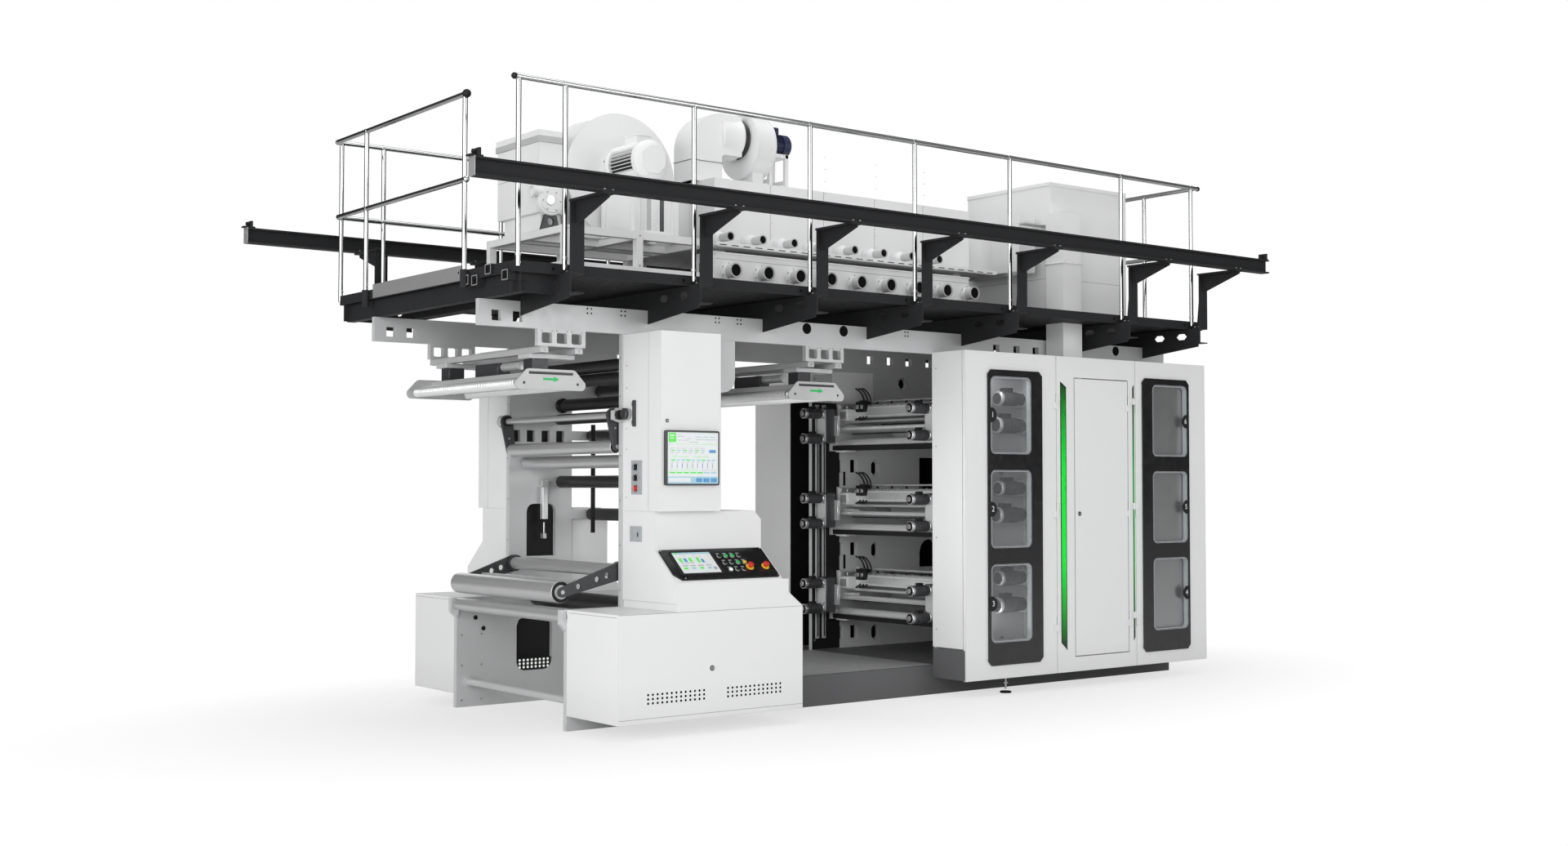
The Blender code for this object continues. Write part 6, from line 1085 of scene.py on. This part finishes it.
def dryer_fan():
    """The dryer's fan with its elbow and motor. y and z count from the motor's shaft."""
    piece = Piece("dryer_fan_dressed", "press", ["dryer_fan"])
    piece.place = (0, -0.380, 4.145)
    base, top, hub = -0.365 + SEAT, 0.147, -0.050
    elbow = [(1.190, base), (1.460, base), (1.460, -0.185)] + arc(1.490, -0.177, 0.030, 180, 90, 5)[1:]
    elbow += [(1.640, -0.147), (1.640, top)] + arc(1.460, top - 0.270, 0.270, 90, 180, 14)
    piece.prism("Y", elbow, -0.110, 0.110, "plant")
    for z, key in ((-0.215, "seam"), (-0.211, "plant")):
        piece.box(1.186, 1.464, -0.114, 0.114, z, z + 0.0025, key, 0)
    piece.box(1.178, 1.472, -0.122, 0.122, base, base + 0.010, "plant", 0.002)
    piece.turned("X", 0, 0, [(1.470, 0.147), (1.560, 0.147), (1.600, 0.152), (1.630, 0.160)], "plant", 56)
    piece.rod("X", 0, 0, 0.159, 1.628, 1.642, "plant", 56, 0.002)
    piece.bolts("X", circle(0, 0, 0.152, 12), 1.628, -1, 0.005)
    piece.turned("X", 0, 0, [(1.640, 0.138), (1.648, 0.146), (1.658, 0.140), (1.668, 0.146), (1.678, 0.140),
                             (1.688, 0.146), (1.701, 0.138)], "rubber", 48)
    piece.rod("X", 0, hub, 0.232, 1.700, 1.864, "plant", 72, 0.004)
    for x in (1.698, 1.857):
        piece.rod("X", 0, hub, 0.239, x, x + 0.008, "plant", 72, 0.001)
    piece.bolts("X", circle(0, hub, 0.190, 14, 0.3 * 360 / 14), 1.865, 1, 0.005)
    piece.box(1.732, 1.832, -0.120, 0.120, base, hub - 0.116, "plant", 0.004)
    piece.box(1.715, 1.850, -0.140, 0.140, base, base + 0.010, "plant", 0.002)
    # motor in dark blue with cooling ribs, a fan cowl and a terminal box
    radius = 0.087
    piece.rod("X", 0, 0, 0.110, 1.864, 1.884, "navy", 36, 0.002)
    piece.rod("X", 0, 0, radius * 0.86, 1.880, 2.120, "navy", 36)
    for i in range(28):
        spin = Matrix.Rotation(2 * math.pi * i / 28, 4, "X")
        piece.box(1.900, 2.060, -0.0016, 0.0016, 0.070, radius, "navy", 0.0006, spin)
    piece.turned("X", 0, 0, [(2.060, radius), (2.118, radius), (2.130, radius - 0.010), (2.138, radius - 0.030)],
                 "navy", 36)
    for i in range(5):
        piece.rod("X", 0, 0, 0.014 + 0.012 * i, 2.1375 - i * 0.0012, 2.139 - i * 0.0012, "matt_black", 30, 0.0002)
    piece.box(1.945, 2.035, -0.045, 0.045, 0.080, 0.130, "navy", 0.006)
    piece.rod("Y", 1.990, 0.105, 0.011, -0.045, -0.062, "matt_black", 16)
    high = 0.010 - radius
    piece.box(1.905, 2.085, -0.095, 0.095, high - 0.030, high, "plant", 0.002)
    for x in (1.905, 2.055):
        piece.boxes("plant", 0.002, (x, x + 0.030, -0.095, -0.065, base, high - 0.001),
                    (x, x + 0.030, 0.065, 0.095, base, high - 0.001), (x, x + 0.030, -0.066, 0.066, -0.295, -0.270))


def stub(piece, x, z, face, profiles, bore, segments):
    """A flanged air stub out of a face towards the operator: its collar, its pipe and its dark bore."""
    for profile, key in zip(profiles, ("plant", "lid_grey")):
        piece.turned("Y", x, z, [(face - out, radius) for out, radius in profile], key, segments)
    radius, out = bore
    piece.rod("Y", x, z, radius, face - out - 0.0007, face - out, "dark_hole", segments - 4, 0.0001)


def tunnel_fittings():
    piece = Piece("tunnel_fittings")
    y0, low = -0.6865, 3.290
    for i in range(8):
        stub(piece, 1.250 + i * 0.285, low + 0.048, y0, (
            [(-0.002, 0.056), (0.008, 0.056), (0.008, 0.0475), (0.046, 0.0475), (0.050, 0.050), (0.062, 0.050),
             (0.094, 0.0295)],
            [(0.090, 0.0300), (0.188, 0.0300), (0.188, 0.0335), (0.197, 0.0335), (0.197, 0.0270), (0.1905, 0.0268)]),
             (0.0268, 0.1905), 28)
    # panel joints with rivets along the tunnel's side and roof
    for x in (1.75, 2.25, 2.75, 3.25):
        piece.boxes("seam", 0, (x, x + 0.002, y0 - 0.0006, y0 + 0.001, low + 0.085, 3.778),
                    (x, x + 0.002, y0, 0.5, 3.779, 3.7806))
        for k in range(8):
            piece.rod("Y", x + 0.014, low + 0.12 + k * 0.09, 0.0035, y0, y0 - 0.002, "zinc", 10, 0.0005)
    piece.boxes("dark_hole", 0, *[(1.16 + i * 0.104, 1.22 + i * 0.104, y0 - 0.1905, y0 - 0.189, 3.272, 3.278)
                                  for i in range(26)])
    piece.box(1.140, 3.860, y0 - 0.192, y0 - 0.186, 3.262, 3.268, "plant", 0.001)
    # manifold: seam, flanged stubs and their dark bores
    near, low, high = -0.960, 2.990, 3.205
    middle = (low + high) / 2 - 0.020
    for i in range(9):
        x = 1.170 + i * 0.285
        stub(piece, x, middle, near, (
            [(-0.002, 0.068), (0.008, 0.068), (0.008, 0.0480), (0.030, 0.0480)],
            [(0.028, 0.0475), (0.084, 0.0475), (0.084, 0.0515), (0.098, 0.0515), (0.098, 0.0420), (0.0905, 0.0415)]),
             (0.0414, 0.0905), 32)
        piece.bolts("Y", circle(x, middle, 0.057, 6, math.degrees(0.5)), near - 0.007, -1, 0.0042)
    piece.boxes("seam", 0, (1.060, 3.480, near - 0.0006, near + 0.001, high - 0.046, high - 0.044),
                (1.0595, 1.0605, near + 0.03, near + 0.19, low + 0.03, high - 0.06))
    piece.box(1.054, 3.486, near - 0.006, -0.714, high - 0.010, high + 0.003, "plant", 0.002)
    piece.box(3.480, 3.520, -0.900, -0.780, 3.060, 3.150, "plant", 0.004)
    piece = Piece("exhaust_fittings")
    x0, x1, y0, y1, low, high = 4.570, 5.510, -0.7865, 0.165, 3.020, 4.095
    piece.boxes("seam", 0, *[(x0 - 0.0006, x1 + 0.0006, y0 - 0.0006, y1 + 0.0006, z, z + 0.002) for z in (3.30, 3.66)])
    # corner strips, duct flanges and the brackets between tunnel and box
    piece.boxes("plant", 0.002, *[(x - 0.002, x + 0.032, y0 - 0.004, y0 + 0.002, low, high) for x in (x0, x1 - 0.030)],
                *[(4.503, 4.744, -0.9945, -0.792, z, z + 0.012) for z in (3.00, 3.40)],
                *[(x, x + 0.010, -0.700, 0.110, 3.345, 3.800) for x in (4.300, 4.480)])
    piece.boxes("plant", 0.003, (x0 - 0.006, x1 + 0.006, y0 - 0.006, y1 + 0.006, high - 0.030, high + 0.002),
                (3.750, 3.790, -0.400, 0.110, 3.360, 3.710), (4.530, 4.569, -0.400, 0.110, 3.360, 3.710))
    for z in (3.00, 3.40):
        piece.bolts("Z", [(x, -0.990) for x in (4.53, 4.62, 4.71)], z + 0.012, 1, 0.004)
    piece.box(4.300, 4.570, -0.7880, -0.700, 3.725, 3.737, "lid_grey", 0.002)
    piece.bolts("Z", [(x, -0.744) for x in (4.330, 4.400, 4.470)], 3.725, -1, 0.005)


def blower_table_fittings():
    piece = Piece("blower_table_fittings")
    # pedestal under the motor: recessed strips, one of them perforated
    for i, key in enumerate(("plant", "lid_grey", "plant", "gunmetal", "plant")):
        x = 0.476 + i * 0.052
        piece.box(x, x + 0.036, -0.9145, -0.908, 3.310, 3.610, key, 0.001)
    for k, x in product(range(22), (0.588, 0.598, 0.608)):
        piece.rod("Y", x, 3.325 + k * 0.013, 0.0030, -0.9155, -0.9144, "steel", 8, 0.0002)
    # small damper with its branch pipe on a bracket, in front of the inlet box
    piece.place = (0.020, -0.500, 3.505)
    piece.rod("Y", 0, 0, 0.098, -0.030, 0.030, "plant", 44, 0.004)
    piece.rod("Y", 0, 0, 0.080, -0.034, -0.028, "plant", 40, 0.002)
    piece.rod("Y", -0.010, 0.004, 0.034, -0.040, -0.032, "steel", 30, 0.002)
    piece.bolts("Y", circle(0, 0, 0.066, 6), -0.034, -1, 0.005)
    piece.turned("X", 0, 0.060, [(-0.060, 0.036), (-0.125, 0.036), (-0.127, 0.046), (-0.140, 0.046), (-0.140, 0.030),
                                 (-0.120, 0.029)], "plant", 30)
    piece.plate("Y", [(-0.075, -0.213), (0.085, -0.213), (0.030, -0.035), (-0.020, -0.035)],
                [circle(0.006, -0.135, 0.026)], -0.012, 0.012, "gunmetal")
    piece.box(-0.030, 0.030, -0.014, 0.014, -0.105, -0.085, "gunmetal", 0.002)
    piece.place = (0, 0, 0)
    # bolts of the table, and the seam and lid of the inlet box
    piece.bolts("Y", product((-0.095, 0.465, 1.025), (3.065, 3.265)), -0.930, -1, 0.006)
    piece.box(-0.0506, 0.1456, -0.4870, 0.0840, 3.690, 3.692, "seam", 0)
    piece.box(-0.063, 0.152, -0.4990, 0.0960, 3.905, 3.947, "lid_grey", 0.002)


# Stage, light and camera

LAMPS = (  # name, place, aim, size and power; the last three light the works behind the windows and the print bay
    ("left", (-14.0, -3.0, 4.0), (0.0, 0.0, 1.5), 6.0, 480.0),
    ("corner", (-9.5, -10.5, 3.6), (1.0, 0.0, 1.4), 6.0, 460.0),
    ("front", (5.0, -14.0, 5.0), (0.5, 0.0, 1.5), 6.0, 360.0),
    ("top", (-1.0, -1.0, 12.0), (0.0, 0.0, 0.0), 7.0, 420.0),
    ("back", (3.0, 11.0, 6.0), (0.0, 0.0, 1.5), 7.0, 200.0),
    ("left_cabinet", (1.30, -1.02, 2.50), (1.45, -0.85, 0.5), 0.12, 1.0),
    ("left_cabinet_low", (1.30, -1.02, 0.47), (1.45, -0.85, 2.5), 0.12, 0.7),
    ("print_bay", (-0.50, -0.80, 1.45), (1.50, -0.45, 1.40), 1.4, 8.0))
WHITE = (1.0, 1.0, 1.0, 1.0)


def link(name, data):
    item = bpy.data.objects.new(name, data)
    bpy.context.scene.collection.objects.link(item)
    return item


def mix(tree, share, first, second):
    return node(tree, "MixShader", 0, {0: share, 1: first, 2: second})


def stage():
    ground = bpy.data.meshes.new("floor")
    ground.from_pydata([(-60, -60, 0), (60, -60, 0), (60, 60, 0), (-60, 60, 0)], [], [(0, 1, 2, 3)])
    made = finish("studio_floor", (0.80, 0.80, 0.80), 0.75, vary=0.004, patch=0.3, soft=0, bump=0.01)
    # the camera sees the floor run out into plain white; its shade stays close round the machine
    tree = made.node_tree
    flat = node(tree, "Mapping", Vector=node(tree, "TexCoord", "Object"), Scale=(0.16, 0.30, 1.0))
    reach = node(tree, "VectorMath", "Value", {0: flat}, operation="LENGTH")
    fade = node(tree, "MapRange", Value=reach, From_Min=0.45, From_Max=1.10, To_Min=0.62,
                interpolation_type="SMOOTHSTEP")
    share = times(tree, fade, node(tree, "LightPath", "Is Camera Ray"))
    surface = mix(tree, share, tree.nodes["Principled BSDF"].outputs[0], node(tree, "Emission", Strength=1.02))
    fill(tree, tree.nodes["Material Output"], Surface=surface)
    ground.materials.append(made)
    link("floor", ground)
    world = bpy.data.worlds.new("studio")
    bpy.context.scene.world = world
    world.use_nodes = True
    tree = world.node_tree
    soft = fill(tree, tree.nodes["Background"], Color=WHITE, Strength=0.46).outputs[0]
    # what shines sees a studio with a bright front and ceiling and dark flags behind
    front = node(tree, "VectorMath", "Value", {0: node(tree, "TexCoord", "Generated"), 1: (-0.50, -0.50, 0.71)},
                 operation="DOT_PRODUCT")
    glow = node(tree, "MapRange", Value=front, From_Min=-0.20, From_Max=0.85, To_Min=0.03, To_Max=0.80,
                interpolation_type="SMOOTHSTEP")
    gloss = mix(tree, node(tree, "LightPath", "Is Glossy Ray"), soft, node(tree, "Background", Strength=glow))
    seen = mix(tree, node(tree, "LightPath", "Is Camera Ray"), gloss,
               node(tree, "Background", Color=WHITE, Strength=1.0))
    fill(tree, tree.nodes["World Output"], Surface=seen)
    for name, place, aim, size, power in LAMPS:
        lamp = bpy.data.lights.new(name, "AREA")
        lamp.energy, lamp.size = power, size
        holder = link(name, lamp)
        holder.location = place
        holder.visible_camera = False
        holder.rotation_euler = (Vector(aim) - Vector(place)).to_track_quat("-Z", "Y").to_euler()
    lens = bpy.data.cameras.new("camera")
    lens.lens, lens.sensor_width, lens.clip_end = 39.466, 36.0, 200.0
    holder = link("camera", lens)
    holder.location = (-8.301, -10.5025, 1.6)
    holder.rotation_euler = (math.radians(90 + 2.0798), 0.0, math.radians(51.8786 - 90))
    bpy.context.scene.camera = holder
    bpy.context.scene.view_settings.view_transform = "Standard"


stage()
for build in (rollers, dancer, cylinder_and_swing, side_frame_fittings, console_fittings, column_fittings,
              screen_piece, control_panel, web_guides, beam_fittings, handrails, walkway_fittings, crane_fittings,
              print_stations, print_frame_fittings, door_dressing, far_cabinet_fittings, platform_fittings, blower,
              blower_motor, dryer_fan, tunnel_fittings, blower_table_fittings):
    build()
for piece in PIECES:
    piece.done()
